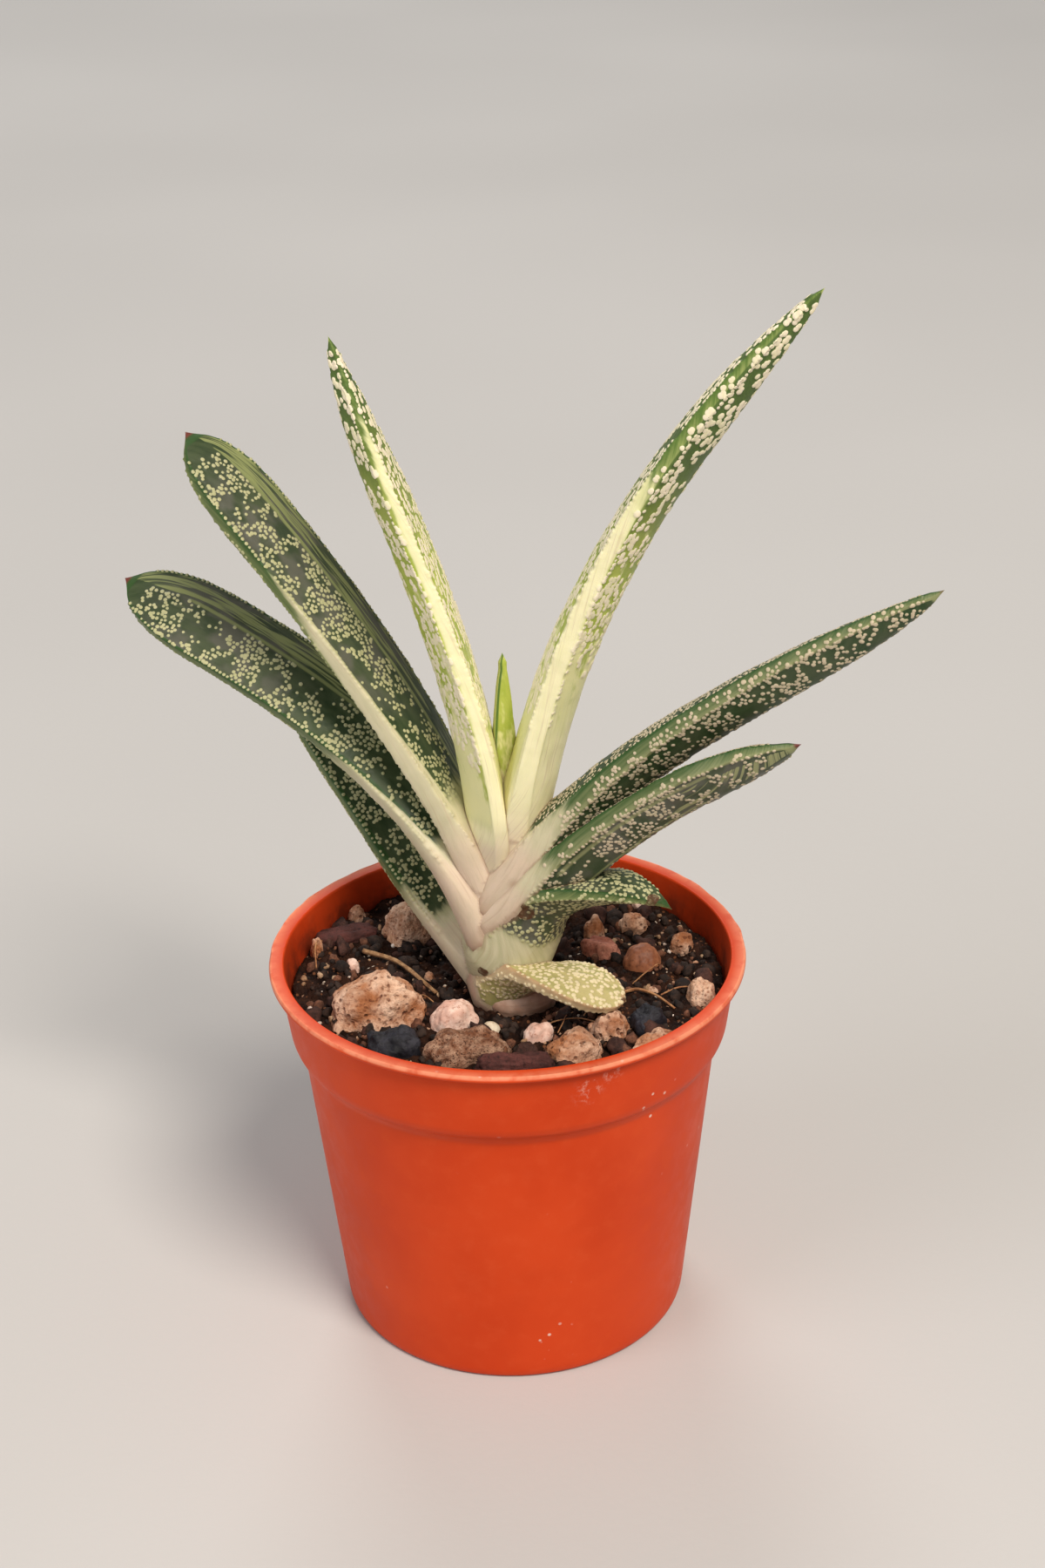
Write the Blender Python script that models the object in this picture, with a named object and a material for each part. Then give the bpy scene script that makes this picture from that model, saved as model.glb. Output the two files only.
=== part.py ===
"""Potted gasteria: a small two-ranked succulent in a round plastic nursery pot.

Lengths below are millimetres. The origin is the middle of the pot's base, +Z is up and -Y is the
front. Every leaf is one swept solid that starts on the stem axis; each outer leaf is hollowed by
the ones inside it, so the leaf bases sheathe one another with a hairline gap, as on the plant.
"""
import math

import bpy
import bmesh
import numpy as np
from mathutils import Vector, noise

MM = 0.001
GAP = 0.3                    # clearance between neighbouring pieces

# Pot
POT_TOP = 53.8
LIP_R, LIP_T = 32.5, 0.9     # flat flange round the mouth
MOUTH_R = 30.4
COLLAR_R = (31.2, 30.0)      # straight collar under the flange, top and bottom
COLLAR_Z = 43.7
BODY_R = (28.5, 24.0)        # tapering body, top and base
BODY_Z = 42.0
WALL, FLOOR = 1.1, 1.4
POT_SEG = 48
DRAIN_R, DRAIN_AT, DRAIN_N = 2.6, 17.0, 5

# Soil and stem
SOIL_MID, SOIL_EDGE = 48.0, 49.0
SOIL_R = 29.4
SOIL_SEG, SOIL_RINGS = 42, 13
AXIS = (0.0, -3.0)           # the stem stands a little in front of the pot's middle
STEM = ((24.0, 3.4), (40.0, 4.2), (48.0, 4.6), (54.0, 3.6), (60.0, 2.6), (66.0, 1.9), (69.0, 1.2))
SEED = 11

# Leaf mesh
STEP = 2.9                   # distance between sections along a leaf
ACROSS = 6                   # facets across each face
BUMP = 0.28                  # height of the raised tubercles
TIP_R = 0.42

# One line per leaf, inner ones first. az, el, roll: heading, rise and twist in degrees (start/end,
# el start/middle/end). w: half width at base, widest, before the tip; at: where it is widest.
# tip: where it starts to close and how bluntly. m: thickness of the margin; crown and keel: how
# far the upper and lower faces bulge; sheath: half depth, half thickness and length of the base.
LEAVES = (
    dict(name="leaf_centre", az=(100, 100), el=(88, 91, 92), roll=(12, 12), L=28, z=70.1, x=0.3,
         w=(1.4, 1.6, 1.3), at=.35, tip=(.40, 1.5, 1.0), m=(1.5, .9), crown=.3, keel=(1.0, .6),
         sheath=(1.8, 1.8, 8)),
    dict(name="leaf_left_1", az=(170, 170), el=(96, 73, 70), roll=(15, 4), L=80.0, z=62.0, x=-1.0,
         w=(5.4, 6.0, 2.8), at=.30, tip=(.78, 1.8, .9), m=(1.9, 1.5), crown=.4, keel=(3.4, 2.4),
         sheath=(3.0, 2.6, 16)),
    dict(name="leaf_right_1", az=(-24, -24), el=(85, 64, 45), roll=(25, 2), L=96, z=64.4,
         w=(5.5, 5.7, 3.3), at=.30, tip=(.70, 1.8, .9), m=(2.8, 1.6), crown=.7, keel=(3.6, 2.4),
         sheath=(3.9, 3.8, 22)),
    dict(name="leaf_left_2", az=(156, 156), el=(70, 54, 46), roll=(9, -13), L=76, z=60.8,
         w=(4.4, 5.9, 5.0), at=.45, tip=(.80, 2.2, .6), m=(3.0, 1.6), crown=.7, keel=(1.8, 1.2),
         sheath=(4.8, 4.2, 22)),
    dict(name="leaf_right_2", az=(-22, -22), el=(64, 38, 36), roll=(-2, -33), L=76, z=63.7,
         w=(5.2, 4.6, 5.2), at=.35, tip=(.60, 2.0, .7), m=(2.7, 1.5), crown=1.3, keel=(3.2, 2.2),
         sheath=(5.6, 4.4, 22)),
    dict(name="leaf_left_3", az=(152, 152), el=(70, 31, 20), roll=(-23, -31), L=72, z=59.2,
         w=(5.5, 5.5, 5.4), at=.50, tip=(.72, 2.2, .6), m=(2.6, 1.6), crown=.6, keel=(3.4, 2.2),
         sheath=(6.4, 4.4, 22)),
    dict(name="leaf_right_3", az=(-28, -28), el=(53, 40, 26), roll=(-17, -31), L=53, z=60.0,
         w=(5.2, 4.8, 5.3), at=.40, tip=(.72, 2.0, .6), m=(2.6, 1.6), crown=.9, keel=(3.4, 1.8),
         sheath=(6.6, 4.6, 20)),
    dict(name="leaf_right_4", az=(-36, -18), el=(64, 30, -34), roll=(-42, 6), L=29, z=56.2,
         w=(5.0, 4.8, 4.0), at=.40, tip=(.55, 1.8, .8), m=(1.8, 1.2), crown=.5, keel=(3.2, 1.8),
         sheath=(6.2, 4.8, 12)),
    dict(name="leaf_left_4", az=(132, 140), el=(30, 42, 34), roll=(-12, -12), L=55, z=51.0,
         w=(4.6, 5.2, 4.6), at=.40, tip=(.70, 2.0, .6), m=(2.2, 1.4), crown=.6, keel=(2.4, 1.6),
         sheath=(5.6, 4.6, 16)),
    dict(name="leaf_right_5", az=(-60, -10), el=(60, 2, -20), roll=(-30, 14), L=21, z=50.5,
         w=(5.0, 3.8, 3.3), at=.40, tip=(.50, 2.0, .6), m=(1.4, 1.1), crown=.5, keel=(2.4, 1.2),
         sheath=(6.0, 4.8, 9)),
)

# Loose pieces on the soil: position, half sizes, heading, squareness, roughness of the outline,
# how fine the mesh is.
STONES = (
    ("pumice_big", -17.9, -8.6, (6.3, 4.8, 6.0), 8, 2.4, .16, 2),
    ("pumice_left", -13.6, 13.6, (3.8, 3.8, 5.2), 30, 2.4, .14, 2),
    ("pumice_speckled", -5.6, -19.2, (5.0, 3.1, 2.8), 6, 2.6, .18, 2),
    ("bark_left", -22.8, 12.6, (4.5, 1.9, 1.9), 20, 4.0, .10, 1),
    ("perlite", -7.3, -11.4, (3.1, 2.8, 4.0), 40, 2.2, .12, 2),
    ("charcoal_left", -15.2, -18.0, (3.2, 2.1, 2.4), -14, 3.0, .16, 1),
    ("bark_front", 0.6, -24.4, (4.7, 1.7, 1.5), -2, 4.0, .10, 1),
    ("bead", -2.5, -12.8, (1.45, 1.45, 1.9), 0, 2.0, .02, 1),
    ("pumice_front", 8.4, -20.4, (3.0, 2.6, 2.7), 25, 2.6, .18, 1),
    ("pumice_ridge", 13.2, -14.9, (2.3, 2.1, 2.6), 60, 2.6, .18, 1),
    ("charcoal_right", 18.3, -13.4, (2.0, 2.0, 2.8), 35, 3.4, .12, 1),
    ("pumice_slab", 19.0, -19.2, (3.4, 1.8, 1.6), 38, 2.8, .16, 1),
    ("pebble_brown", 18.6, 3.6, (2.7, 2.6, 3.5), 0, 2.0, .06, 2),
    ("wedge_red", 13.0, 7.2, (3.0, 1.8, 2.5), -38, 3.2, .14, 1),
    ("pumice_right", 26.0, -7.0, (1.9, 2.3, 3.3), 10, 2.4, .16, 1),
)

# Small grit fused with the soil: position, half sizes, heading. More is scattered by a seeded draw.
GRIT = (
    (3.3, -14.4, (1.7, 1.2, 1.5), 20),
    (12.4, 12.0, (1.5, 1.6, 2.6), 10),
    (18.0, 13.8, (2.1, 1.5, 1.9), -8),
    (24.4, 7.4, (1.9, 1.5, 2.0), 50),
    (-21.4, 18.0, (1.3, 1.0, 1.8), 0),
    (-26.6, 8.4, (0.9, 1.6, 1.9), 10),
    (-15.9, -0.9, (1.2, 1.1, 1.4), 0),
    (-21.5, 4.6, (1.0, 1.0, 1.3), 0),
)
GRIT_MORE = 14
GRIT_SIZE = (0.6, 1.2)

# Dry straw and a loose root lying over the soil: way points and radius.
STRAWS = (
    ("straw", ((-20.0, 7.4, 1.5), (-15.0, 3.6, 1.9), (-9.8, -3.6, 1.3)), 0.62),
    ("root_right", ((15.6, -4.4, .9), (17.6, -4.9, 1.5), (20.0, -6.6, 1.3), (22.2, -9.6, .9)), 0.38),
)

COLOURS = {                  # base colour, roughness
    "terracotta_plastic": ((.62, .10, .032), .42),
    "potting_soil": ((.028, .018, .013), .95),
    "stem_flesh": ((.55, .42, .30), .55),
    "leaf_dark": ((.045, .13, .040), .42),
    "leaf_light": ((.36, .46, .16), .40),
    "leaf_old": ((.30, .36, .15), .50),
    "pumice_stone": ((.50, .30, .18), .92),
    "pale_stone": ((.66, .50, .40), .85),
    "charcoal_lump": ((.035, .035, .055), .60),
    "bark_chip": ((.085, .028, .024), .80),
    "brown_stone": ((.30, .11, .05), .75),
    "dry_straw": ((.34, .21, .10), .80),
}
STONE_SLOTS = {"bark": "bark_chip", "charcoal": "charcoal_lump", "perlite": "pale_stone",
               "bead": "pale_stone", "pale": "pale_stone", "wedge": "brown_stone",
               "pebble_brown": "brown_stone", "pebble_dark": "brown_stone"}


def clear_scene():
    for ob in list(bpy.data.objects):
        bpy.data.objects.remove(ob, do_unlink=True)


def material(name):
    """A plain surface in the colour seen on the plant."""
    if name in bpy.data.materials:
        return bpy.data.materials[name]
    colour, rough = COLOURS[name]
    mat = bpy.data.materials.new(name)
    mat.use_nodes = True
    bsdf = mat.node_tree.nodes["Principled BSDF"]
    bsdf.inputs["Base Color"].default_value = (*colour, 1.0)
    bsdf.inputs["Roughness"].default_value = rough
    bsdf.inputs["Metallic"].default_value = 0.0
    mat.diffuse_color = (*colour, 1.0)
    return mat


def add_object(name, verts, faces, slot, smooth=True):
    """Make one named object from points in millimetres."""
    mesh = bpy.data.meshes.new(name)
    mesh.from_pydata([(x * MM, y * MM, z * MM) for x, y, z in verts], [], faces)
    mesh.materials.append(material(slot))
    ob = bpy.data.objects.new(name, mesh)
    bpy.context.scene.collection.objects.link(ob)
    bm = bmesh.new()
    bm.from_mesh(mesh)
    bmesh.ops.recalc_face_normals(bm, faces=bm.faces)
    if bm.calc_volume(signed=True) < 0:
        bmesh.ops.reverse_faces(bm, faces=bm.faces)
    for f in bm.faces:
        f.smooth = smooth
    bm.to_mesh(mesh)
    bm.free()
    return ob


def largest_piece(ob):
    """Keep the biggest closed piece of a cut mesh and tidy its edges."""
    bm = bmesh.new()
    bm.from_mesh(ob.data)
    bmesh.ops.remove_doubles(bm, verts=bm.verts, dist=0.000002)
    bmesh.ops.dissolve_degenerate(bm, dist=0.000002, edges=bm.edges)
    bmesh.ops.triangulate(bm, faces=bm.faces)
    left = set(bm.faces)
    groups = []
    while left:
        stack = [left.pop()]
        group = []
        while stack:
            face = stack.pop()
            group.append(face)
            for edge in face.edges:
                for other in edge.link_faces:
                    if other in left:
                        left.discard(other)
                        stack.append(other)
        groups.append(group)
    groups.sort(key=len, reverse=True)
    extra = [f for g in groups[1:] for f in g]
    if extra:
        bmesh.ops.delete(bm, geom=extra, context="FACES")
    loose = [v for v in bm.verts if not v.link_faces]
    bmesh.ops.delete(bm, geom=loose, context="VERTS")
    bm.to_mesh(ob.data)
    bm.free()


def cut(ob, cutters, operation="DIFFERENCE"):
    """Take the cutters' shapes out of an object, or join them to it, and delete the cutters."""
    for tool in cutters:
        tool.hide_render = True
        tool.display_type = "WIRE"
        mod = ob.modifiers.new("cut", "BOOLEAN")
        mod.operation = operation
        mod.solver = "EXACT"
        mod.object = tool
        deps = bpy.context.evaluated_depsgraph_get()
        mesh = bpy.data.meshes.new_from_object(ob.evaluated_get(deps))
        ob.modifiers.clear()
        old = ob.data
        ob.data = mesh
        bpy.data.meshes.remove(old)
        largest_piece(ob)
    for tool in cutters:
        bpy.data.objects.remove(tool, do_unlink=True)


def grown_copy(ob, by):
    """A copy pushed outward, used as a cutter that leaves a gap."""
    tool = ob.copy()
    tool.data = ob.data.copy()
    bpy.context.scene.collection.objects.link(tool)
    bm = bmesh.new()
    bm.from_mesh(tool.data)
    bm.normal_update()
    push = [(v, v.normal.copy() * by * MM) for v in bm.verts]
    for v, d in push:
        v.co += d
    bm.to_mesh(tool.data)
    bm.free()
    tool.hide_render = True
    tool.display_type = "WIRE"
    return tool


def revolve(name, profile, segments, slot, centre=(0.0, 0.0)):
    """Turn a closed outline of (radius, height) points; radius 0 gives one point on the axis."""
    verts, rows = [], []
    for r, z in profile:
        if r < 1e-6:
            rows.append([len(verts)] * segments)
            verts.append((centre[0], centre[1], z))
        else:
            start = len(verts)
            for k in range(segments):
                a = math.tau * k / segments
                verts.append((centre[0] + r * math.cos(a), centre[1] + r * math.sin(a), z))
            rows.append(list(range(start, start + segments)))
    faces = []
    closed = profile[0][0] > 1e-6
    pairs = list(zip(rows, rows[1:] + ([rows[0]] if closed else [])))
    if not closed:
        pairs = pairs[:len(rows) - 1]
    for a, b in pairs:
        for k in range(segments):
            n = (k + 1) % segments
            ring = [a[k], a[n], b[n], b[k]]
            face = [v for i, v in enumerate(ring) if v not in ring[:i]]
            if len(face) > 2:
                faces.append(face)
    return add_object(name, verts, faces, slot)


def soil_height(x, y):
    """Smooth level of the soil at a point."""
    r = math.hypot(x, y) / SOIL_R
    return SOIL_MID + (SOIL_EDGE - SOIL_MID) * min(1.0, r) ** 2


def stone_reach(x, y):
    """Smallest distance from a point to the outline of any loose piece, in millimetres."""
    best = 99.0
    for cx, cy, half, turn in [row[1:5] for row in STONES]:
        a = math.radians(turn)
        u = (x - cx) * math.cos(a) + (y - cy) * math.sin(a)
        v = -(x - cx) * math.sin(a) + (y - cy) * math.cos(a)
        k = math.hypot(u / half[0], v / half[1])
        best = min(best, (k - 1.0) * min(half[0], half[1]))
    for _, way, r in STRAWS:
        for p, q in zip(way, way[1:]):
            for i in range(7):
                t = i / 6
                d = math.hypot(x - p[0] - (q[0] - p[0]) * t, y - p[1] - (q[1] - p[1]) * t)
                best = min(best, d - r)
    return best


def crumbs(x, y):
    """Coarse lumps of the soil between the loose pieces."""
    room = min(stone_reach(x, y), math.hypot(x - AXIS[0], y - AXIS[1]) - 7.5)
    if room < 2.4:
        return 0.0
    n = noise.noise(Vector((x * 0.45, y * 0.45, SEED)))
    n += 0.6 * noise.noise(Vector((x * 1.1, y * 1.1, SEED + 7)))
    return max(-0.2, min(1.0, 1.5 * n + 0.25)) * min(1.0, (room - 2.4) / 1.5)


def make_pot():
    """Thin moulded pot with a flat flange, a straight collar and a stepped, tapering body."""
    inner_collar = COLLAR_R[1] - WALL
    inner_body = BODY_R[0] - WALL
    inner_base = BODY_R[1] - WALL
    profile = [
        (BODY_R[1] - 0.7, 0.0), (BODY_R[1] - 0.1, 0.35), (BODY_R[1] + 0.15, 1.2),
        (BODY_R[0] - 0.1, BODY_Z - 0.8), (BODY_R[0] + 0.45, BODY_Z + 0.3),
        (COLLAR_R[1] - 0.3, COLLAR_Z - 0.6), (COLLAR_R[1], COLLAR_Z + 0.3),
        (COLLAR_R[0], POT_TOP - LIP_T - 0.25), (LIP_R - 0.15, POT_TOP - LIP_T),
        (LIP_R, POT_TOP - LIP_T * 0.5), (LIP_R - 0.15, POT_TOP),
        (MOUTH_R + 0.15, POT_TOP), (MOUTH_R, POT_TOP - 0.2),
        (inner_collar + 0.5, COLLAR_Z + 1.4), (inner_body, BODY_Z - 1.2),
        (inner_base, FLOOR + 0.8), (inner_base - 0.8, FLOOR), (0.0, FLOOR),
    ]
    outline = [(0.0, 0.0)] + profile
    pot = revolve("pot", outline, POT_SEG, "terracotta_plastic")
    holes = []
    for k in range(DRAIN_N):
        a = math.tau * (k + 0.5) / DRAIN_N
        at = (DRAIN_AT * math.cos(a), DRAIN_AT * math.sin(a))
        tool = revolve(f"drain_{k}", [(0.0, -2.0), (DRAIN_R, -2.0), (DRAIN_R, 4.0), (0.0, 4.0)],
                       12, "terracotta_plastic", at)
        tool.hide_render = True
        tool.display_type = "WIRE"
        holes.append(tool)
    cut(pot, holes)
    for f in pot.data.polygons:
        f.use_smooth = True
    return pot


def make_soil():
    """Soil fill with a blind hole for the stem and a lumpy top."""
    hole_r, hole_z = 0.0, STEM[0][0] - GAP
    hole_r = max(r for z, r in STEM) + GAP + 0.1
    verts, rows = [], []

    def ring(points):
        start = len(verts)
        verts.extend(points)
        rows.append(list(range(start, start + len(points))))

    def circle(r, z, cx=0.0, cy=0.0):
        ring([(cx + r * math.cos(math.tau * k / SOIL_SEG), cy + r * math.sin(math.tau * k / SOIL_SEG), z)
              for k in range(SOIL_SEG)])

    verts.append((AXIS[0], AXIS[1], hole_z))
    rows.append([0] * SOIL_SEG)
    circle(hole_r, hole_z, *AXIS)
    for i in range(SOIL_RINGS + 1):
        t = i / SOIL_RINGS
        points = []
        for k in range(SOIL_SEG):
            a = math.tau * (k + (0.5 if i % 2 else 0.0)) / SOIL_SEG
            x = (AXIS[0] + hole_r * math.cos(a)) * (1 - t) + SOIL_R * math.cos(a) * t
            y = (AXIS[1] + hole_r * math.sin(a)) * (1 - t) + SOIL_R * math.sin(a) * t
            z = soil_height(x, y)
            if 0 < i < SOIL_RINGS:
                z += crumbs(x, y)
            points.append((x, y, z))
        ring(points)
    clear = WALL + GAP
    circle(COLLAR_R[1] - clear + 0.4, COLLAR_Z + 1.6)
    circle(BODY_R[0] - clear, BODY_Z - 1.6)
    circle(BODY_R[1] - clear - 0.2, FLOOR + 1.4)
    circle(BODY_R[1] - clear - 1.4, FLOOR + GAP)
    verts.append((0.0, 0.0, FLOOR + GAP))
    rows.append([len(verts) - 1] * SOIL_SEG)
    faces = []
    for a, b in zip(rows, rows[1:]):
        for k in range(SOIL_SEG):
            n = (k + 1) % SOIL_SEG
            quad = [a[k], a[n], b[n], b[k]]
            face = [v for i, v in enumerate(quad) if v not in quad[:i]]
            if len(face) > 2:
                faces.append(face)
    return add_object("soil", verts, faces, "potting_soil", smooth=False)


def grit_places():
    """The small grit seen on the soil, then more of it drawn at random where there is room."""
    rng = np.random.default_rng(SEED)
    rows = [row + (t,) for t, row in enumerate(GRIT)]
    tries = 0
    while len(rows) < len(GRIT) + GRIT_MORE and tries < 4000:
        tries += 1
        r, a = SOIL_R * math.sqrt(rng.random()), math.tau * rng.random()
        size = rng.uniform(*GRIT_SIZE)
        half = tuple(size * rng.uniform(0.7, 1.3, 3))
        turn = 360.0 * rng.random()
        x, y = r * math.cos(a), r * math.sin(a)
        reach = 1.4 * max(half)
        if r > SOIL_R - reach - 0.4 or math.hypot(x - AXIS[0], y - AXIS[1]) < 8.0 + reach:
            continue
        if stone_reach(x, y) < reach + 0.5:
            continue
        if all(math.hypot(x - q[0], y - q[1]) > reach + 1.4 * max(q[2]) for q in rows):
            rows.append((x, y, half, turn, len(rows)))
    return rows


def fuse_grit(soil):
    """Sink small stones well into the soil and join them with it in one cut."""
    verts, faces = [], []
    for x, y, half, turn, seed in grit_places():
        bm = bmesh.new()
        bmesh.ops.create_icosphere(bm, subdivisions=1 if half[0] < 1.8 else 2, radius=1.0)
        a = math.radians(turn)
        base = len(verts)
        bm.verts.index_update()
        for v in bm.verts:
            d = v.co * (1.0 + 0.25 * noise.noise(v.co * 1.7 + Vector((seed, 5.0, 0.0))))
            px, py, pz = d.x * half[0], d.y * half[1], d.z * half[2] + 0.15 * half[2]
            qx, qy = x + px * math.cos(a) - py * math.sin(a), y + px * math.sin(a) + py * math.cos(a)
            verts.append((qx, qy, soil_height(x, y) + crumbs(x, y) + pz))
        faces += [[base + v.index for v in f.verts] for f in bm.faces]
        bm.free()
    tool = add_object("grit_tool", verts, faces, "potting_soil")
    cut(soil, [tool], "UNION")
    for f in soil.data.polygons:
        f.use_smooth = False


def make_stone(name, x, y, half, turn, square, rough, fine):
    """A lumpy stone whose buried side is cut off just above the soil."""
    bm = bmesh.new()
    bmesh.ops.create_icosphere(bm, subdivisions=fine + 1, radius=1.0)
    a = math.radians(turn)
    seed = sum(ord(c) for c in name)
    for v in bm.verts:
        d = v.co.normalized()
        k = (abs(d.x) ** square + abs(d.y) ** square + abs(d.z) ** square) ** (-1.0 / square)
        n = noise.noise(d * 1.7 + Vector((seed, 0.3 * seed, 0.0)))
        n += 0.5 * noise.noise(d * 3.9 + Vector((0.0, seed, 2.0)))
        d = d * k * (1.0 + rough * n * 1.6)
        px, py, pz = d.x * half[0], d.y * half[1], d.z * half[2]
        qx = x + px * math.cos(a) - py * math.sin(a)
        qy = y + px * math.sin(a) + py * math.cos(a)
        r = math.hypot(qx, qy)
        if r > SOIL_R - 0.1:
            qx, qy = qx * (SOIL_R - 0.1) / r, qy * (SOIL_R - 0.1) / r
        level = soil_height(qx, qy) + GAP
        v.co = (qx, qy, max(level, soil_height(x, y) + pz))
    bmesh.ops.dissolve_degenerate(bm, dist=0.02, edges=bm.edges)
    bmesh.ops.triangulate(bm, faces=bm.faces)
    bm.verts.ensure_lookup_table()
    bm.verts.index_update()
    verts = [tuple(v.co) for v in bm.verts]
    faces = [[v.index for v in f.verts] for f in bm.faces]
    bm.free()
    slot = "pumice_stone"
    for key, value in STONE_SLOTS.items():
        if name.startswith(key):
            slot = value
    return add_object(name, verts, faces, slot, smooth=False)


def make_straw(name, way, radius):
    """A thin dry strand laid along its way points, height given above the soil."""
    pts = [Vector((x, y, soil_height(x, y) + h)) for x, y, h in way]
    path = []
    for p, q in zip(pts, pts[1:]):
        path += [p.lerp(q, i / 4) for i in range(4)]
    path.append(pts[-1])
    sides, verts, faces = 7, [], []
    for i, p in enumerate(path):
        t = (path[min(i + 1, len(path) - 1)] - path[max(i - 1, 0)]).normalized()
        u = t.cross(Vector((0, 0, 1))).normalized()
        w = u.cross(t)
        r = radius * (1.0 - 0.2 * i / len(path))
        for k in range(sides):
            a = math.tau * k / sides
            verts.append(tuple(p + (u * math.cos(a) + w * math.sin(a)) * r))
    for i in range(len(path) - 1):
        for k in range(sides):
            n = (k + 1) % sides
            faces.append([i * sides + k, i * sides + n, (i + 1) * sides + n, (i + 1) * sides + k])
    faces.append(list(range(sides)))
    faces.append([(len(path) - 1) * sides + k for k in range(sides)])
    return add_object(name, verts, faces, "dry_straw")


def ease(t):
    t = min(1.0, max(0.0, t))
    return t * t * (3.0 - 2.0 * t)


def leaf_frames(leaf):
    """Points along a leaf with the directions of its blade, from heading, rise and twist."""
    steps = 400
    p = np.array((AXIS[0] + leaf.get("x", 0.0), AXIS[1], leaf["z"]), dtype=float)
    e0, e1, e2 = leaf["el"]
    out, last = [], None
    for i in range(steps + 1):
        t = i / steps
        az = math.radians(leaf["az"][0] + (leaf["az"][1] - leaf["az"][0]) * ease(t))
        el = math.radians(e0 * (1 - t) * (1 - 2 * t) + e1 * 4 * t * (1 - t) + e2 * t * (2 * t - 1))
        tan = np.array((math.cos(el) * math.cos(az), math.cos(el) * math.sin(az), math.sin(el)))
        if last is not None:
            p = p + (tan + last) * 0.5 * leaf["L"] / steps
        last = tan
        up = np.array((-math.sin(el) * math.cos(az), -math.sin(el) * math.sin(az), math.cos(el)))
        side = np.array((math.sin(az), -math.cos(az), 0.0))
        roll = math.radians(leaf["roll"][0] + (leaf["roll"][1] - leaf["roll"][0]) * ease(t))
        n = up * math.cos(roll) + side * math.sin(roll)
        b = side * math.cos(roll) - up * math.sin(roll)
        out.append((p, n, b, tan))
    return out


def leaf_section(leaf, t):
    """Outline of one section: upper face, margin, lower face, margin."""
    wb, wm, we = leaf["w"]
    at = leaf["at"]
    if t < at:
        w = wb + (wm - wb) * ease(t / at)
    else:
        w = wm - (wm - we) * ((t - at) / (1 - at)) ** 1.5
    start, a, b = leaf["tip"]
    u = min(1.0, max(0.0, (t - start) / (1 - start)))
    w = max(TIP_R, w * (1 - u ** a) ** b)
    close = (1 - u ** 2.2) ** 0.6
    m0, m1 = leaf["m"]
    m = max(TIP_R * 0.8, 0.5 * (m0 + (m1 - m0) * min(1.0, t / 0.7)) * close)
    crown = leaf["crown"] * close * ease(t / 0.15)
    keel = (leaf["keel"][0] + (leaf["keel"][1] - leaf["keel"][0]) * t) * close
    pts = []
    for i in range(ACROSS + 1):
        x = 1 - 2 * i / ACROSS
        pts.append((x * w, m + crown * (1 - x * x)))
    pts.append((-w - 0.25 * m, 0.0))
    for i in range(ACROSS + 1):
        x = -1 + 2 * i / ACROSS
        pts.append((x * w, -m - keel * (1 - abs(x) ** 1.6)))
    pts.append((w + 0.25 * m, 0.0))
    depth, thick, blend = leaf["sheath"]
    q = 1 - ease(t * leaf["L"] / blend)
    if q > 0:
        out = []
        for x, y in pts:
            ang = math.atan2(y / max(m + crown, 0.01), x / w)
            out.append((x * (1 - q) + depth * math.cos(ang) * q,
                        y * (1 - q) + thick * math.sin(ang) * q))
        pts = out
    return pts


def tubercle(leaf, row, col, count):
    """Raised wart on every other point of both faces, in drifting patches."""
    face = col % (ACROSS + 2)
    if face == ACROSS + 1:
        return 0.0
    if face in (0, ACROSS):
        return 0.12 if row % 2 else 0.0
    if (row + col) % 2 or row * STEP < 0.28 * leaf["L"] or row > count - 4:
        return 0.0
    seed = leaf["z"] * 3.1 + leaf["L"]
    patch = noise.noise(Vector((row * 0.55, col * 1.3, seed)))
    return BUMP if patch > -0.15 else 0.06


def make_leaf(leaf):
    """Sweep the section along the leaf and close it with a small hard point."""
    frames = leaf_frames(leaf)
    count = max(6, int(leaf["L"] / STEP))
    verts, faces = [], []
    ring = 2 * (ACROSS + 2)
    for i in range(count + 1):
        u = i / count
        t = min(0.992, 1 - (1 - u) ** 1.15)
        p, n, b, _ = frames[int(round(t * (len(frames) - 1)))]
        pts = leaf_section(leaf, t)
        for j, (x, y) in enumerate(pts):
            bump = tubercle(leaf, i, j, count)
            size = math.hypot(x, y)
            side = 1.0 if j <= ACROSS else -1.0
            if j % (ACROSS + 2) in (0, ACROSS):
                x, y = x * (1 + bump / size), y
            else:
                y += side * bump
            verts.append(tuple(p + b * x + n * y))
    for i in range(count):
        for j in range(ring):
            k = (j + 1) % ring
            faces.append([i * ring + j, i * ring + k, (i + 1) * ring + k, (i + 1) * ring + j])
    p, _, _, tan = frames[0]
    verts.append(tuple(p))
    low = len(verts) - 1
    p, _, _, tan = frames[-1]
    verts.append(tuple(p + tan * 1.1))
    top = len(verts) - 1
    for j in range(ring):
        k = (j + 1) % ring
        faces.append([low, k, j])
        faces.append([top, count * ring + j, count * ring + k])
    slot = {"leaf_centre": "leaf_light", "leaf_left_1": "leaf_light",
            "leaf_right_1": "leaf_light", "leaf_right_5": "leaf_old"}.get(leaf["name"], "leaf_dark")
    return add_object(leaf["name"], verts, faces, slot)


def make_leaves(stem):
    """Build every leaf whole, then hollow each one for the stem and the leaves inside it."""
    whole = [make_leaf(leaf) for leaf in LEAVES]
    tools = [[grown_copy(stem, GAP + 0.12)] + [grown_copy(ob, GAP + 0.12) for ob in whole[:i]]
             for i in range(len(whole))]
    for ob, cutters in zip(whole, tools):
        cut(ob, cutters)
        for f in ob.data.polygons:
            f.use_smooth = True


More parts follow.
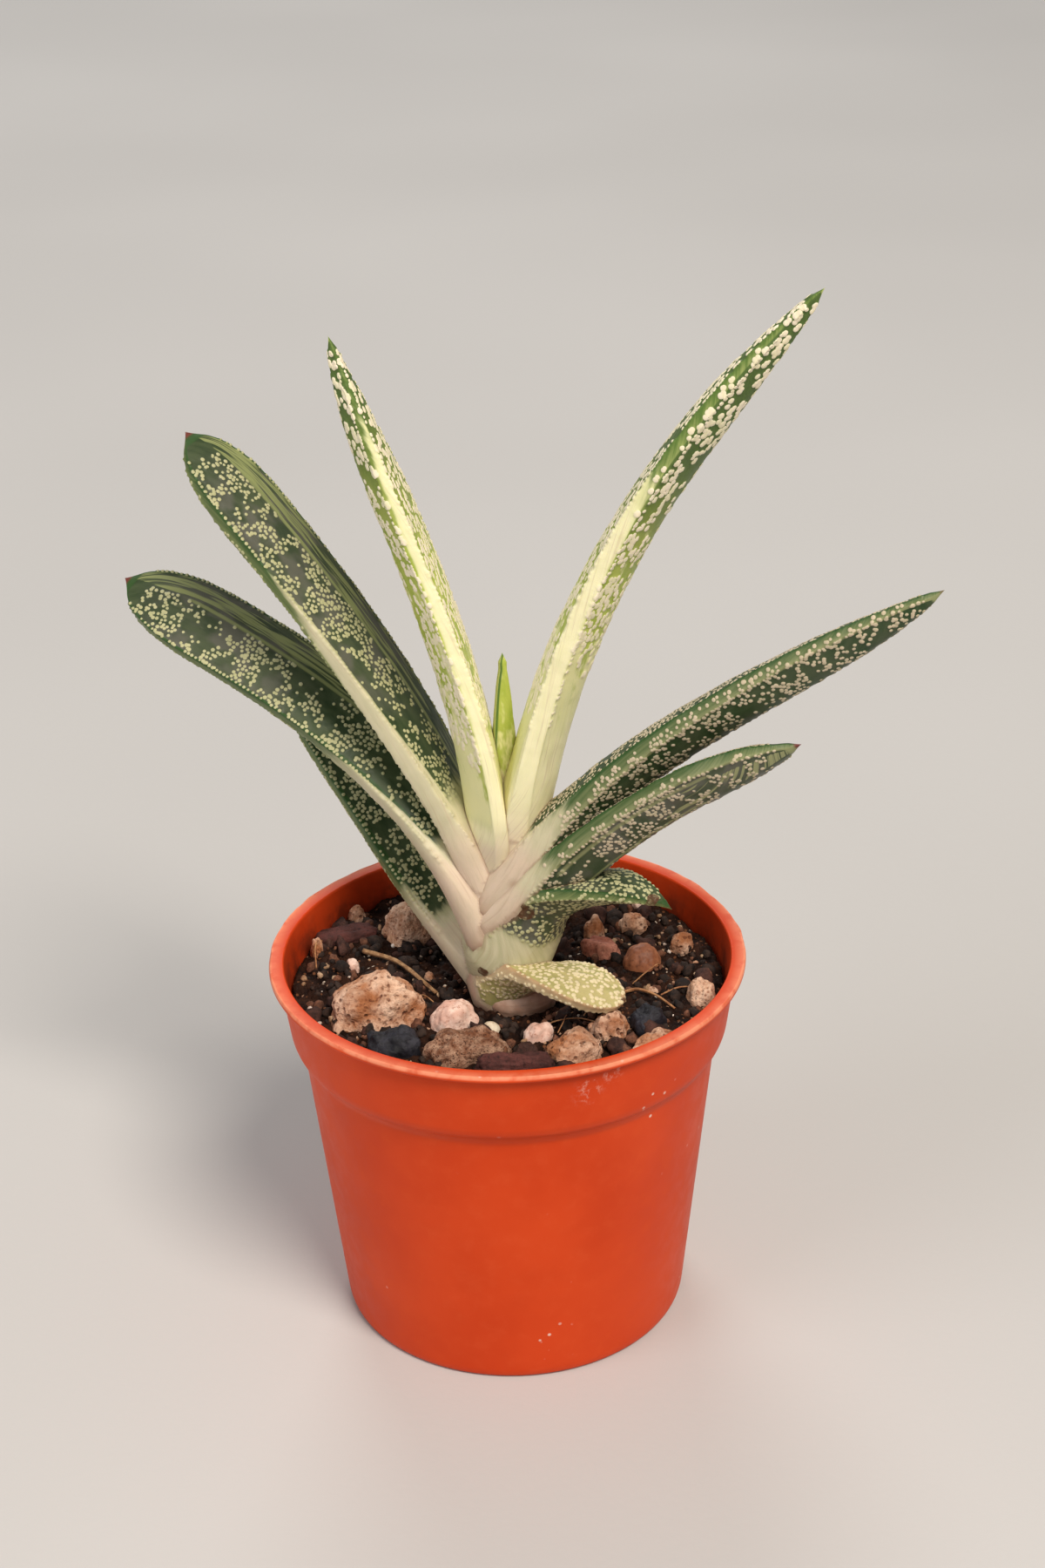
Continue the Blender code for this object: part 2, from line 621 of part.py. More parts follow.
def main():
    clear_scene()
    make_pot()
    fuse_grit(make_soil())
    outline = [(0.0, STEM[0][0])] + [(r, z) for z, r in STEM] + [(0.0, STEM[-1][0] + 0.4)]
    stem = revolve("stem", outline, 16, "stem_flesh", AXIS)
    make_leaves(stem)
    for row in STONES:
        make_stone(*row)
    for row in STRAWS:
        make_straw(*row)


main()
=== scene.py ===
import math

import bmesh
import bpy
import numpy as np
from mathutils import Matrix, Vector, noise
from mathutils.bvhtree import BVHTree


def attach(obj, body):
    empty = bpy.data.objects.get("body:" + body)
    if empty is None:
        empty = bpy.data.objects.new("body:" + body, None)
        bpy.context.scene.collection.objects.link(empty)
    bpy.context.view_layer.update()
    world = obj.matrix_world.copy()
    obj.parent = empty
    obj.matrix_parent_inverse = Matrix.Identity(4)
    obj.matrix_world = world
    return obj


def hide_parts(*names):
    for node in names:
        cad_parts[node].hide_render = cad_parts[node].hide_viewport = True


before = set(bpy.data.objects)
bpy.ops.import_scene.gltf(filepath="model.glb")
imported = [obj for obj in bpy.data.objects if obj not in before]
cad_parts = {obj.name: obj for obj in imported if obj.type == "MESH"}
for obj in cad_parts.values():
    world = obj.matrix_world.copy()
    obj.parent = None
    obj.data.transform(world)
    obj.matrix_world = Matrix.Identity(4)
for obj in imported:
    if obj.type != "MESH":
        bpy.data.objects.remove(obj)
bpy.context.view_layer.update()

# Looks of a potted gasteria. Lengths are millimetres unless a name says otherwise, +Z is up and -Y
# is the front. Leaves, stones, soil and pot repeat the forms of the frame with finer meshes.
MM = 0.001

# Pot
POT_TOP = 53.8
LIP_R, LIP_T = 32.5, 0.9
MOUTH_R = 30.4
COLLAR_R = (31.2, 30.0)
COLLAR_Z = 43.7
BODY_R = (28.5, 24.0)
BODY_Z = 42.0
WALL, FLOOR = 1.1, 1.4
POT_SEG = 240
SMEARS = ((-66, 51.5, 1.8, .9), (-71, 49.5, 1.2, .5))     # dusty marks: bearing, height, half sizes
DRAIN_R, DRAIN_AT, DRAIN_N = 2.6, 17.0, 5

# Soil and stem
SOIL_MID, SOIL_EDGE = 48.0, 49.0
SOIL_R = 29.4
SOIL_SEG, SOIL_RINGS = 400, 84
AXIS = (0.0, -3.0)
STEM = ((24.0, 3.4), (40.0, 4.2), (46.0, 5.4), (50.0, 5.5), (54.0, 3.6), (60.0, 2.6), (66.0, 1.9),
        (69.0, 1.2))
STEM_LEAN = 1.5              # how far the thick foot of the stem is set to the right
SEED = 11

# Leaf mesh
PITCH = 0.27                 # distance between neighbouring points on a leaf
TIP_R = 0.42
POINT = 1.1                  # length of the hard point at a leaf's tip
WART = 0.12                  # height of a wart
BEAD = 0.12                  # added height of the warts along the edges
CREASE_SHADE_REACH = 0.34          # how wide the painted crease shade is where two leaf bases meet, partly the brownish line seen there
SCARS = ((-3.3, 55.1, .95, 1.15), (-3.2, 67.3, .45, .40))   # dried spots in front: x, z, half sizes

# One line per leaf, as in the frame. az, el, roll: heading, rise and twist in degrees. w: half
# width at base, widest, before the tip; at: where it is widest. tip: where it starts to close and
# how bluntly. m: thickness of the margin; crown and keel: how far the upper and lower faces bulge;
# sheath: half depth, half thickness and length of the base; run: how closely the base runs on
# along the leaf below its start instead of straight down; point: length of the hard point.
LEAVES = (
    dict(name="leaf_centre", az=(100, 100), el=(88, 91, 92), roll=(12, 12), L=28, z=70.1, x=0.3,
         w=(1.5, 1.7, 1.7), at=.35, tip=(.30, 1.5, .6), m=(1.5, 1.0), crown=.3, keel=(1.0, .6),
         sheath=(1.8, 1.8, 8)),
    dict(name="leaf_left_1", az=(170, 170), el=(96, 73, 70), roll=(15, 4), L=80.0, z=62.0, x=-1.0,
         w=(5.4, 6.0, 2.8), at=.30, tip=(.70, 1.7, 1.0), m=(1.9, 1.5), crown=.4, keel=(3.4, 2.4),
         sheath=(3.0, 2.6, 16)),
    dict(name="leaf_right_1", az=(-24, -24), el=(85, 64, 45), roll=(25, 2), L=96, z=64.4,
         w=(5.5, 5.7, 3.3), at=.30, tip=(.70, 1.8, .9), m=(2.8, 1.6), crown=.7, keel=(3.6, 2.4),
         sheath=(3.9, 3.8, 22)),
    dict(name="leaf_left_2", az=(156, 156), el=(70, 54, 46), roll=(9, -13), L=76, z=60.8,
         w=(4.4, 5.9, 5.2), at=.45, tip=(.83, 2.7, .5), m=(3.0, 1.6), crown=.7, keel=(1.8, 1.2),
         sheath=(4.8, 4.2, 22)),
    dict(name="leaf_right_2", az=(-22, -22), el=(64, 38, 36), roll=(-2, -33), L=76, z=63.7,
         w=(5.2, 4.6, 5.2), at=.35, tip=(.60, 2.0, .7), m=(2.7, 1.5), crown=1.3, keel=(3.2, 2.2),
         sheath=(5.6, 4.4, 22)),
    dict(name="leaf_left_3", az=(152, 152), el=(70, 31, 20), roll=(-23, -31), L=72, z=59.2,
         w=(5.5, 5.5, 5.5), at=.50, tip=(.78, 2.7, .5), m=(2.6, 1.6), crown=.6, keel=(3.4, 2.2),
         sheath=(6.4, 4.4, 22)),
    dict(name="leaf_right_3", az=(-28, -28), el=(53, 40, 26), roll=(-17, -31), L=53, z=60.0,
         w=(5.2, 4.8, 5.3), at=.40, tip=(.72, 2.0, .6), m=(2.6, 1.6), crown=.9, keel=(3.4, 1.8),
         sheath=(6.1, 4.0, 20)),
    dict(name="leaf_right_4", az=(-36, -18), el=(64, 30, -34), roll=(-42, 6), L=29, z=56.2,
         w=(5.0, 4.8, 4.0), at=.40, tip=(.55, 1.8, .8), m=(1.8, 1.2), crown=.5, keel=(3.2, 1.8),
         sheath=(6.4, 6.2, 13)),
    dict(name="leaf_left_4", az=(132, 140), el=(30, 42, 34), roll=(-12, -12), L=55, z=51.0,
         w=(4.6, 5.2, 4.6), at=.40, tip=(.70, 2.0, .6), m=(2.2, 1.4), crown=.6, keel=(2.4, 1.6),
         sheath=(5.1, 4.2, 16), run=.4),
    dict(name="leaf_right_5", az=(-60, -10), el=(60, 2, -20), roll=(-30, 14), L=21, z=50.5,
         w=(5.0, 4.2, 4.1), at=.40, tip=(.66, 2.2, .5), m=(1.4, 1.1), crown=.5, keel=(2.4, 1.2),
         sheath=(6.0, 4.8, 9), point=.3, run=.4),
)

# How each leaf is marked. near: the margin turned to the front. base: where the cream of the leaf
# base ends, as start and end of the fade, on the upper face, lower face, near margin, far margin.
# band: the plain stripe along the near margin as (distance along, first edge, last edge), where 0 to
# 1 is the margin itself, below 0 is millimetres onto the upper face and above 1 onto the lower.
# pale: the part of it that stays cream, if not all. most: limit of the cream, from 0 to 3. painted_sheen: where
# a painted grey sheen of reflected light lies on the skin.
# up and low: warts of a face as (share kept, radius, stretch along the leaf, cluster length and
# width, first and last place). line: (face, place across, half width, from, to). streak: (face,
# from, to across, level at the base, level at the tip).
DARK = (.54, .245, 1.0, (1.7, 2.6))
DENSE = (.62, .25, 1.0, (1.2, 3.0))
LIGHT = (.66, .37, 1.25, (3.0, 2.2))
FINE = (.68, .23, 1.0, (1.2, 2.2))
BUMPY = (.90, .27, 1.0, (1.6, 2.0))
ROWS = (.66, .25, 1.2, (3.4, 1.1))
LOOKS = {
    "leaf_centre": dict(pal="lime", near=1, base=((2, 5), (2, 5), (3, 7), (3, 7)),
                        band=((0, 0, 1), (28, .3, .7)), up=None, low=None, rust=0.0, shade=(60, 90),
                        young=(-10, 40)),
    "leaf_left_1": dict(pal="lime", near=-1, base=((10, 16), (10, 18), (62, 76), (16, 30)),
                        band=((0, -2.0, 1.5), (14, -1.2, 1.0), (30, -.7, .72), (50, -.3, .60),
                              (66, .1, .50), (80, .25, .5)),
                        up=LIGHT + (24, 79), low=LIGHT + (22, 79), rust=0.0, shade=(46, 76),
                        young=(10, 58)),
    "leaf_right_1": dict(pal="lime", near=1, base=((12, 30), (18, 42), (56, 74), (16, 38)),
                         band=((0, -2.0, 1.5), (20, -1.0, 1.0), (40, -.3, .85), (60, -.1, .7),
                               (80, .1, .6), (96, .2, .5)),
                         up=LIGHT + (28, 95), low=LIGHT + (36, 95), rust=0.0, shade=(46, 72),
                         young=(18, 66)),
    "leaf_left_2": dict(pal="dark", near=-1, base=((13, 24), (10, 18), (44, 62), (12, 22)),
                        band=((0, -2.0, 1.0), (14, -1.2, 1.0), (40, -.3, 1.0), (76, -.1, 1.0)),
                        pale=((0, -2.0, 1.2), (14, -1.2, 1.2), (34, -.3, .95), (48, -.3, .5),
                              (62, -.2, .2)),
                        up=DARK + (12, 73), low=DARK + (10, 72), rust=1.0, limit=-.30,
                        line=(("up", -.34, .30, 8, 74), ("low", 0.0, .2, 12, 60)),
                        streak=(("up", -1.0, -.28, .45, .54),), painted_sheen=(34, 70)),
    "leaf_right_2": dict(pal="rose", near=1, base=((8, 16), (4, 11), (8, 26), (8, 16)),
                         band=((0, -1.0, 1.4), (20, -.3, 1.0), (76, 0, 1.0)),
                         up=FINE + (10, 74), low=DENSE + (5, 74), rust=.6),
    "leaf_left_3": dict(pal="dark", near=-1, base=((10, 18), (10, 18), (24, 40), (10, 18)),
                        band=((0, -2.0, 1.0), (14, -1.2, 1.0), (40, -.2, 1.0), (72, -.1, 1.0)),
                        pale=((0, -2.0, 1.2), (14, -1.0, 1.2), (26, -.2, 1.0), (40, .3, 1.0)),
                        up=DARK + (12, 69), low=DARK + (10, 68), rust=1.0, limit=-.25,
                        line=(("up", -.28, .26, 16, 68), ("up", -.60, .20, 24, 64)),
                        streak=(("up", -1.0, -.22, .45, .53),), painted_sheen=(44, 66)),
    "leaf_right_3": dict(pal="rose", near=1, base=((8, 15), (4, 10), (5, 21), (8, 15)),
                         band=((0, -1.0, 1.5), (20, -.3, 1.0), (53, 0, 1.0)),
                         up=FINE + (9, 50), low=DARK + (8, 50), rust=1.0,
                         line=(("low", 0.05, .26, 8, 44), ("low", .86, .20, 10, 48)),
                         streak=(("low", .10, .80, .30, .52),), painted_sheen=(8, 50)),
    "leaf_right_4": dict(pal="dark", near=1, base=((4, 9), (3, 8), (6, 15), (4, 9)), most=.72,
                         band=((0, -.5, 1.0), (29, -.1, 1.0)), up=BUMPY + (4, 28), low=ROWS + (0, 28),
                         rust=.5, dry=((10.5, .9, 1.6), (27.2, .7, 1.0)), painted_sheen=(2, 20)),
    "leaf_left_4": dict(pal="dark", near=-1, base=((8, 15), (7, 15), (9, 24), (9, 16)), most=1.5,
                        band=((0, -1.0, 1.0), (55, -.1, 1.0)), up=DARK + (10, 53),
                        low=FINE + (9, 53), rust=1.0, line=(("low", 0.0, .2, 14, 50),)),
    "leaf_right_5": dict(pal="old", near=1, base=((1, 4), (-2, 1), (0, 4), (2, 6)),
                         band=((0, -.4, 1.0), (21, -.1, 1.0)), up=BUMPY + (3, 21),
                         low=FINE + (0, 16), rust=0.0, blush=-.1, dry=((20.6, .0, .8),)),
}
EXTEND = 6.0                 # how far a leaf base runs on down the stem, inside the lower ones

# Loose pieces on the soil, as in the frame: position, half sizes, heading, squareness, roughness.
STONES = (
    ("pumice_big", -17.9, -8.6, (6.3, 4.8, 6.0), 8, 2.4, .16),
    ("pumice_left", -13.6, 13.6, (3.8, 3.8, 5.2), 30, 2.4, .14),
    ("pumice_speckled", -5.6, -19.2, (5.0, 3.1, 2.8), 6, 2.6, .18),
    ("bark_left", -22.8, 12.6, (4.5, 1.9, 1.9), 20, 4.0, .10),
    ("perlite", -7.3, -11.4, (3.1, 2.8, 4.0), 40, 2.2, .12),
    ("charcoal_left", -15.2, -18.0, (3.2, 2.1, 2.4), -14, 3.0, .16),
    ("bark_front", 0.6, -24.4, (4.7, 1.7, 1.5), -2, 4.0, .10),
    ("bead", -2.5, -12.8, (1.45, 1.45, 1.9), 0, 2.0, .02),
    ("pumice_front", 8.4, -20.4, (3.0, 2.6, 2.7), 25, 2.6, .18),
    ("pumice_ridge", 13.2, -14.9, (2.3, 2.1, 2.6), 60, 2.6, .18),
    ("charcoal_right", 18.3, -13.4, (2.0, 2.0, 2.8), 35, 3.4, .12),
    ("pumice_slab", 19.0, -19.2, (3.4, 1.8, 1.6), 38, 2.8, .16),
    ("pebble_brown", 18.6, 3.6, (2.7, 2.6, 3.5), 0, 2.0, .06),
    ("wedge_red", 13.0, 7.2, (3.0, 1.8, 2.5), -38, 3.2, .14),
    ("pumice_right", 26.0, -7.0, (1.9, 2.3, 3.3), 10, 2.4, .16),
)
# The loose pieces at the front stand a little higher in the photo than the frame's solids.
TALLER = {"pumice_speckled": (1.05, 1.10, 1.45), "bark_front": (1.06, 1.0, 2.3), "pumice_front": (1.2, 1.2, 1.4),
          "pumice_ridge": (1.15, 1.15, 1.4), "charcoal_left": (1.1, 1.1, 1.5), "charcoal_right": (1.1, 1.1, 1.2),
          "pumice_slab": (1.0, 1.1, 1.7), "perlite": (1.05, 1.05, 1.08)}
GRIT = (
    (3.9, -14.8, (2.0, 1.5, 2.0), 20),
    (12.4, 12.0, (1.5, 1.6, 2.6), 10),
    (18.0, 13.8, (2.1, 1.5, 1.9), -8),
    (24.4, 7.4, (1.9, 1.5, 2.0), 50),
    (-21.4, 18.0, (1.3, 1.0, 1.8), 0),
    (-26.6, 8.4, (0.9, 1.6, 1.9), 10),
    (-15.9, -0.9, (1.2, 1.1, 1.4), 0),
    (-21.5, 4.6, (1.0, 1.0, 1.3), 0),
)
GRIT_MORE = 14
GRIT_SIZE = (0.6, 1.2)
STRAWS = (
    ("straw", ((-20.0, 7.4, 1.5), (-15.0, 3.6, 1.9), (-9.8, -3.6, 1.3)), 0.62),
    ("root_right", ((15.6, -4.4, .9), (17.6, -4.9, 1.5), (20.0, -6.6, 1.3), (22.2, -9.6, .9)), 0.38),
)
# Hair roots over the soil: way points with height above the soil, radius.
HAIRS = (
    (((17.0, -1.5, .4), (18.6, -1.0, 1.6), (20.4, -.4, 2.6), (20.9, 1.6, 1.2)), .10),
    (((6.4, -13.6, .4), (7.2, -12.6, 1.5), (7.6, -10.4, 1.1), (8.6, -8.2, .4)), .09),
    (((4.8, -11.4, .4), (6.6, -11.8, 1.3), (9.4, -10.8, .9), (12.0, -11.4, .4)), .11),
    (((10.0, -9.4, .4), (11.4, -8.0, 1.4), (13.4, -8.4, 1.0), (15.0, -10.0, .4)), .10),
    (((-25.6, 10.8, .8), (-26.4, 8.6, 2.2), (-26.6, 5.6, 2.6), (-26.4, 3.4, 1.0)), .13),
    (((-12.4, -3.0, .5), (-11.2, -4.6, 1.4), (-9.4, -6.8, 1.0), (-8.0, -7.6, .5)), .10),
    (((20.6, -5.6, .8), (22.8, -5.2, 1.5), (24.8, -4.0, .9), (26.2, -2.2, .4)), .12),
)


# Camera: place in metres, downward pitch, turn and roll in radians, focal length in millimetres.
CAM_AT = (0.0, -0.3058, 0.2278)
CAM_PITCH, CAM_YAW, CAM_ROLL = 0.4533, 0.0085, -0.0227
CAM_LENS = 59.16
STRAND_THIN = .58            # the strands are drawn a little thinner than the frame's solids


def ease(t):
    t = min(1.0, max(0.0, t))
    return t * t * (3.0 - 2.0 * t)


def smooth(x, lo, hi):
    """Smooth step for arrays."""
    t = np.clip((np.asarray(x, float) - lo) / (hi - lo), 0.0, 1.0)
    return t * t * (3.0 - 2.0 * t)


def lattice(i, seed):
    """Repeatable random numbers from 0 to 1 for whole-number places."""
    n = i[..., 0] * 374761393 + i[..., 1] * 668265263 + i[..., 2] * 1440662683 + seed * 1274126177
    n = (n ^ (n >> 13)) & 0x7FFFFFFF
    n = (n * 1103515245 + 12345) & 0x7FFFFFFF
    n = ((n ^ (n >> 11)) * 69069 + 1) & 0x7FFFFFFF
    return n / 0x7FFFFFFF


def cloud(points, seed=0):
    """Smooth noise from -1 to 1 at an array of points."""
    base = np.floor(points).astype(np.int64)
    f = points - base
    f = f * f * (3 - 2 * f)
    total = 0.0
    for dx in (0, 1):
        for dy in (0, 1):
            for dz in (0, 1):
                wx = f[..., 0] if dx else 1 - f[..., 0]
                wy = f[..., 1] if dy else 1 - f[..., 1]
                wz = f[..., 2] if dz else 1 - f[..., 2]
                total = total + wx * wy * wz * lattice(base + np.array((dx, dy, dz)), seed)
    return 2 * total - 1


def clouds(points, seed=0, octaves=3, gain=0.5):
    out, size = 0.0, 1.0
    for k in range(octaves):
        out = out + size * cloud(points * 2.0 ** k, seed + 17 * k)
        size *= gain
    return out


def cells(points, seed=0):
    """Distance to the nearest of one random point in each unit cell, and that cell's number."""
    base = np.floor(points).astype(np.int64)
    best = np.full(points.shape[:-1], 9.0)
    mark = np.zeros(points.shape[:-1])
    for dx in (-1, 0, 1):
        for dy in (-1, 0, 1):
            for dz in (-1, 0, 1):
                c = base + np.array((dx, dy, dz))
                p = c + np.stack([lattice(c, seed + k) for k in (1, 2, 3)], -1)
                d = np.sqrt(((points - p) ** 2).sum(-1))
                near = d < best
                best = np.where(near, d, best)
                mark = np.where(near, lattice(c, seed + 9), mark)
    return best, mark


class Shader:
    """Adds nodes to a new material and joins them."""

    def __init__(self, name):
        self.mat = bpy.data.materials.new(name)
        self.mat.use_nodes = True
        self.tree = self.mat.node_tree
        self.bsdf = self.tree.nodes["Principled BSDF"]

    def put(self, socket, value):
        if isinstance(value, bpy.types.NodeSocket):
            self.tree.links.new(value, socket)
        elif socket.type == "RGBA" and len(value) == 3:
            socket.default_value = (*value, 1.0)
        else:
            socket.default_value = value

    def node(self, kind, settings=None, **inputs):
        nd = self.tree.nodes.new(kind)
        for key, value in (settings or {}).items():
            setattr(nd, key, value)
        for key, value in inputs.items():
            self.put(nd.inputs[key.replace("_", " ")], value)
        return nd

    def place(self):
        return self.node("ShaderNodeTexCoord").outputs["Object"]

    def attr(self, name, output="Fac"):
        return self.node("ShaderNodeAttribute", {"attribute_name": name}).outputs[output]

    def scaled(self, vector, scale):
        nd = self.node("ShaderNodeVectorMath", {"operation": "MULTIPLY"})
        self.put(nd.inputs[0], vector)
        nd.inputs[1].default_value = scale
        return nd.outputs[0]

    def noise(self, vector, scale, detail=2.0, rough=0.5, warp=0.0):
        return self.node("ShaderNodeTexNoise", Vector=vector, Scale=scale, Detail=detail,
                         Roughness=rough, Distortion=warp).outputs["Fac"]

    def voronoi(self, vector, scale, output="Distance", **settings):
        return self.node("ShaderNodeTexVoronoi", settings, Vector=vector,
                         Scale=scale).outputs[output]

    def math(self, op, a, b=0.0):
        nd = self.node("ShaderNodeMath", {"operation": op})
        self.put(nd.inputs[0], a)
        self.put(nd.inputs[1], b)
        return nd.outputs[0]

    def add(self, a, b):
        return self.math("ADD", a, b)

    def mul(self, a, b):
        return self.math("MULTIPLY", a, b)

    def step(self, value, lo, hi, out=(0.0, 1.0)):
        nd = self.node("ShaderNodeMapRange", {"interpolation_type": "SMOOTHSTEP"}, Value=value)
        for key, number in zip(("From Min", "From Max", "To Min", "To Max"), (lo, hi, *out)):
            nd.inputs[key].default_value = number
        return nd.outputs["Result"]

    def mix(self, factor, a, b, how="MIX"):
        nd = self.node("ShaderNodeMix", {"data_type": "RGBA", "blend_type": how})
        self.put(nd.inputs[0], factor)
        self.put(nd.inputs[6], a)
        self.put(nd.inputs[7], b)
        return nd.outputs[2]

    def bump(self, height, distance, strength=1.0, normal=None):
        nd = self.node("ShaderNodeBump", Height=height, Distance=distance, Strength=strength)
        if normal is not None:
            self.put(nd.inputs["Normal"], normal)
        return nd.outputs["Normal"]

    def finish(self, colour, rough, normal=None, **fixed):
        self.put(self.bsdf.inputs["Base Color"], colour)
        self.put(self.bsdf.inputs["Roughness"], rough)
        if normal is not None:
            self.put(self.bsdf.inputs["Normal"], normal)
        for key, value in fixed.items():
            self.bsdf.inputs[key.replace("_", " ")].default_value = value
        return self.mat


PALETTES = {                 # see the names in leaf_material
    "dark": ((.024, .046, .016), (.058, .082, .034), (.085, .130, .040), (.52, .50, .28),
             (.62, .57, .38), (.70, .56, .42), (.26, .29, .115), (.020, .050, .016),
             (.030, .078, .018)),
    "rose": ((.022, .052, .015), (.058, .080, .036), (.090, .135, .045), (.64, .53, .38),
             (.62, .57, .38), (.70, .56, .42), (.30, .31, .15), (.020, .050, .016),
             (.026, .078, .016)),
    "lime": ((.36, .45, .065), (.50, .56, .120), (.12, .20, .040), (.94, .83, .64),
             (.92, .87, .55), (.80, .68, .50), (.60, .64, .24), (.075, .125, .030),
             (.10, .18, .035)),
    "old": ((.36, .33, .12), (.50, .43, .19), (.45, .32, .18), (.78, .66, .42),
            (.60, .46, .32), (.58, .38, .28), (.60, .50, .30), (.20, .22, .08),
            (.46, .30, .16)),
}
PALE_LIME = (.80, .78, .40)
HUSK = (.47, .31, .21)
# Colour of the painted crease shade where leaf bases meet, partly their own brownish line.
CREASE_SHADE = (.30, .16, .10)
SCAR = (.10, .045, .022)


def spot_gap(s, at, which):
    """How far inside a stored wart a point lies, below 0 outside."""
    nd = s.node("ShaderNodeVectorMath", {"operation": "DISTANCE"})
    s.put(nd.inputs[0], at)
    s.put(nd.inputs[1], s.attr("spot" + which, "Vector"))
    return s.math("SUBTRACT", s.attr("size" + which), nd.outputs["Value"])


def leaf_material(name, pal, seed):
    """Waxy skin: green ground, raised pale warts, streaks, plain margins and a cream base."""
    dark, mid, green, wart, cream, pink, streak, shaded, rim = PALETTES[pal]
    s = Shader(name)
    flow = s.attr("flow", "Vector")
    at = s.place()
    patchy = s.noise(s.scaled(flow, (.16, .42, 1.0)), 1.0, 3.0, .55)
    ground = s.mix(s.step(patchy, .36, .64), dark, mid)
    fine = s.noise(s.scaled(flow, (1.6, 3.2, 1.0)), 1.0, 3.0, .6)
    ground = s.mix(s.step(fine, .35, .75, (0.0, .35)), ground, mid)
    ground = s.mix(s.attr("shade"), ground, s.mix(s.step(fine, .3, .7, (0.0, .4)), shaded, green))
    if pal == "lime":
        cloudy = s.add(s.attr("young"), s.mul(s.add(s.noise(s.scaled(flow, (.20, .55, 1.0)), 1.0, 3.0, .6),
                                                    -.5), 2.4))
        ground = s.mix(s.step(cloudy, .35, .75), ground, PALE_LIME)
    # Painted sheen: grey patches of reflected light painted into the ground colour.
    sheen_noise = s.noise(s.scaled(flow, (.22, .30, 1.0)), 1.0, 2.0, .5)
    ground = s.mix(s.mul(s.attr("painted_sheen"), s.step(sheen_noise, .40, .60, (.15, .75))), ground, (.125, .120, .098))
    drawn = s.noise(s.scaled(flow, (.09, 1.45, 1.0)), 1.0, 2.0, .6, .25)
    lines = s.step(s.add(drawn, s.attr("streak")), .97, 1.07)
    col = s.mix(lines, ground, streak)
    veins = s.noise(s.scaled(flow, (.12, 2.4, 1.0)), 1.0, 2.0, .6)
    plain = s.mix(s.step(veins, .30, .70, (0.0, .5)), green, s.mix(.30, green, streak))
    fade = s.add(s.attr("tone"), s.mul(s.add(veins, -.5), .5))
    plain = s.mix(s.step(fade, .10, .50, (.95, 0.0)), plain, rim)
    plain = s.mix(s.step(fade, .35, .95, (0.0, .75)), plain, streak)
    col = s.mix(s.step(s.attr("green"), .2, .8), col, plain)
    edge = s.noise(s.scaled(flow, (.24, 1.1, 1.0)), 1.0, 3.0, .55)
    level = s.add(s.attr("cream"), s.mul(s.add(edge, -.5), .8))
    base = s.mix(s.step(s.attr("cream"), 1.0, 1.9), cream, pink)
    base = s.mix(s.step(s.attr("cream"), 2.0, 3.0), base, HUSK)
    faint = s.noise(s.scaled(flow, (.25, .9, 1.0)), 1.0, 4.0, .6)
    base = s.mix(s.step(faint, .35, .75, (0.0, .35)), base, s.mix(.5, base, streak))
    threads = s.noise(s.scaled(flow, (.10, 3.2, 1.0)), 1.0, 2.0, .6)
    base = s.mix(s.step(threads, .52, .72, (0.0, .30)), base, HUSK)
    col = s.mix(s.step(level, .12, .52), col, s.mix(.55, streak, base))
    col = s.mix(s.step(level, .40, .95), col, base)
    gap = s.math("MAXIMUM", spot_gap(s, at, "1"), spot_gap(s, at, "2"))
    dots = s.step(gap, -.035 * MM, .035 * MM)
    dome = s.step(gap, -.14 * MM, .16 * MM)
    tint = s.mix(s.step(faint, .35, .65), wart, s.mix(.30, wart, streak))
    col = s.mix(s.mul(dots, s.step(s.attr("cream"), 1.3, .5, (.0, .96))), col, tint)
    col = s.mix(s.step(s.attr("line"), -.14, .14, (0.0, .8)), col, cream if pal == "lime" else streak)
    # Painted crease shade: brown darkening where leaf bases meet, partly their brownish line.
    col = s.mix(s.step(s.attr("crease"), .2, 1.0, (0.0, .45)), col, CREASE_SHADE)
    blotch = s.noise(at, 900.0, 3.0, .6)
    col = s.mix(s.mul(s.step(s.attr("dry"), .35, .75), s.step(blotch, .3, .6, (.5, 1.0))), col,
                SCAR)
    col = s.mix(s.step(s.attr("rust"), .3, .9), col, (.15, .035, .025))
    skin = s.voronoi(s.scaled(flow, (5.0, 7.0, 1.0)), 1.0)
    height = s.add(s.add(s.mul(skin, .35), s.mul(fine, .65)), s.mul(dome, 1.6))
    rough = s.step(patchy, .3, .7, (.38, .50))
    rough = s.add(rough, s.mul(dots, .10))
    return s.finish(col, rough, s.bump(height, .00005, .7),
                    Subsurface_Weight=.10, Subsurface_Radius=(1.0, .9, .4), Subsurface_Scale=.0008,
                    Specular_IOR_Level=.26)


def mesh_object(name, points, faces, mat, attrs=None):
    """A named object from points in millimetres, with values stored on its points."""
    mesh = bpy.data.meshes.new(name)
    mesh.from_pydata((np.asarray(points) * MM).tolist(), [], faces)
    for key, values in (attrs or {}).items():
        values = np.ascontiguousarray(values, dtype=np.float32)
        kind, slot = ("FLOAT", "value") if values.ndim == 1 else ("FLOAT_VECTOR", "vector")
        mesh.attributes.new(key, kind, "POINT").data.foreach_set(slot, values.ravel())
    mesh.materials.append(mat)
    mesh.polygons.foreach_set("use_smooth", np.ones(len(mesh.polygons), dtype=bool))
    mesh.update()
    ob = bpy.data.objects.new(name, mesh)
    bpy.context.scene.collection.objects.link(ob)
    return ob


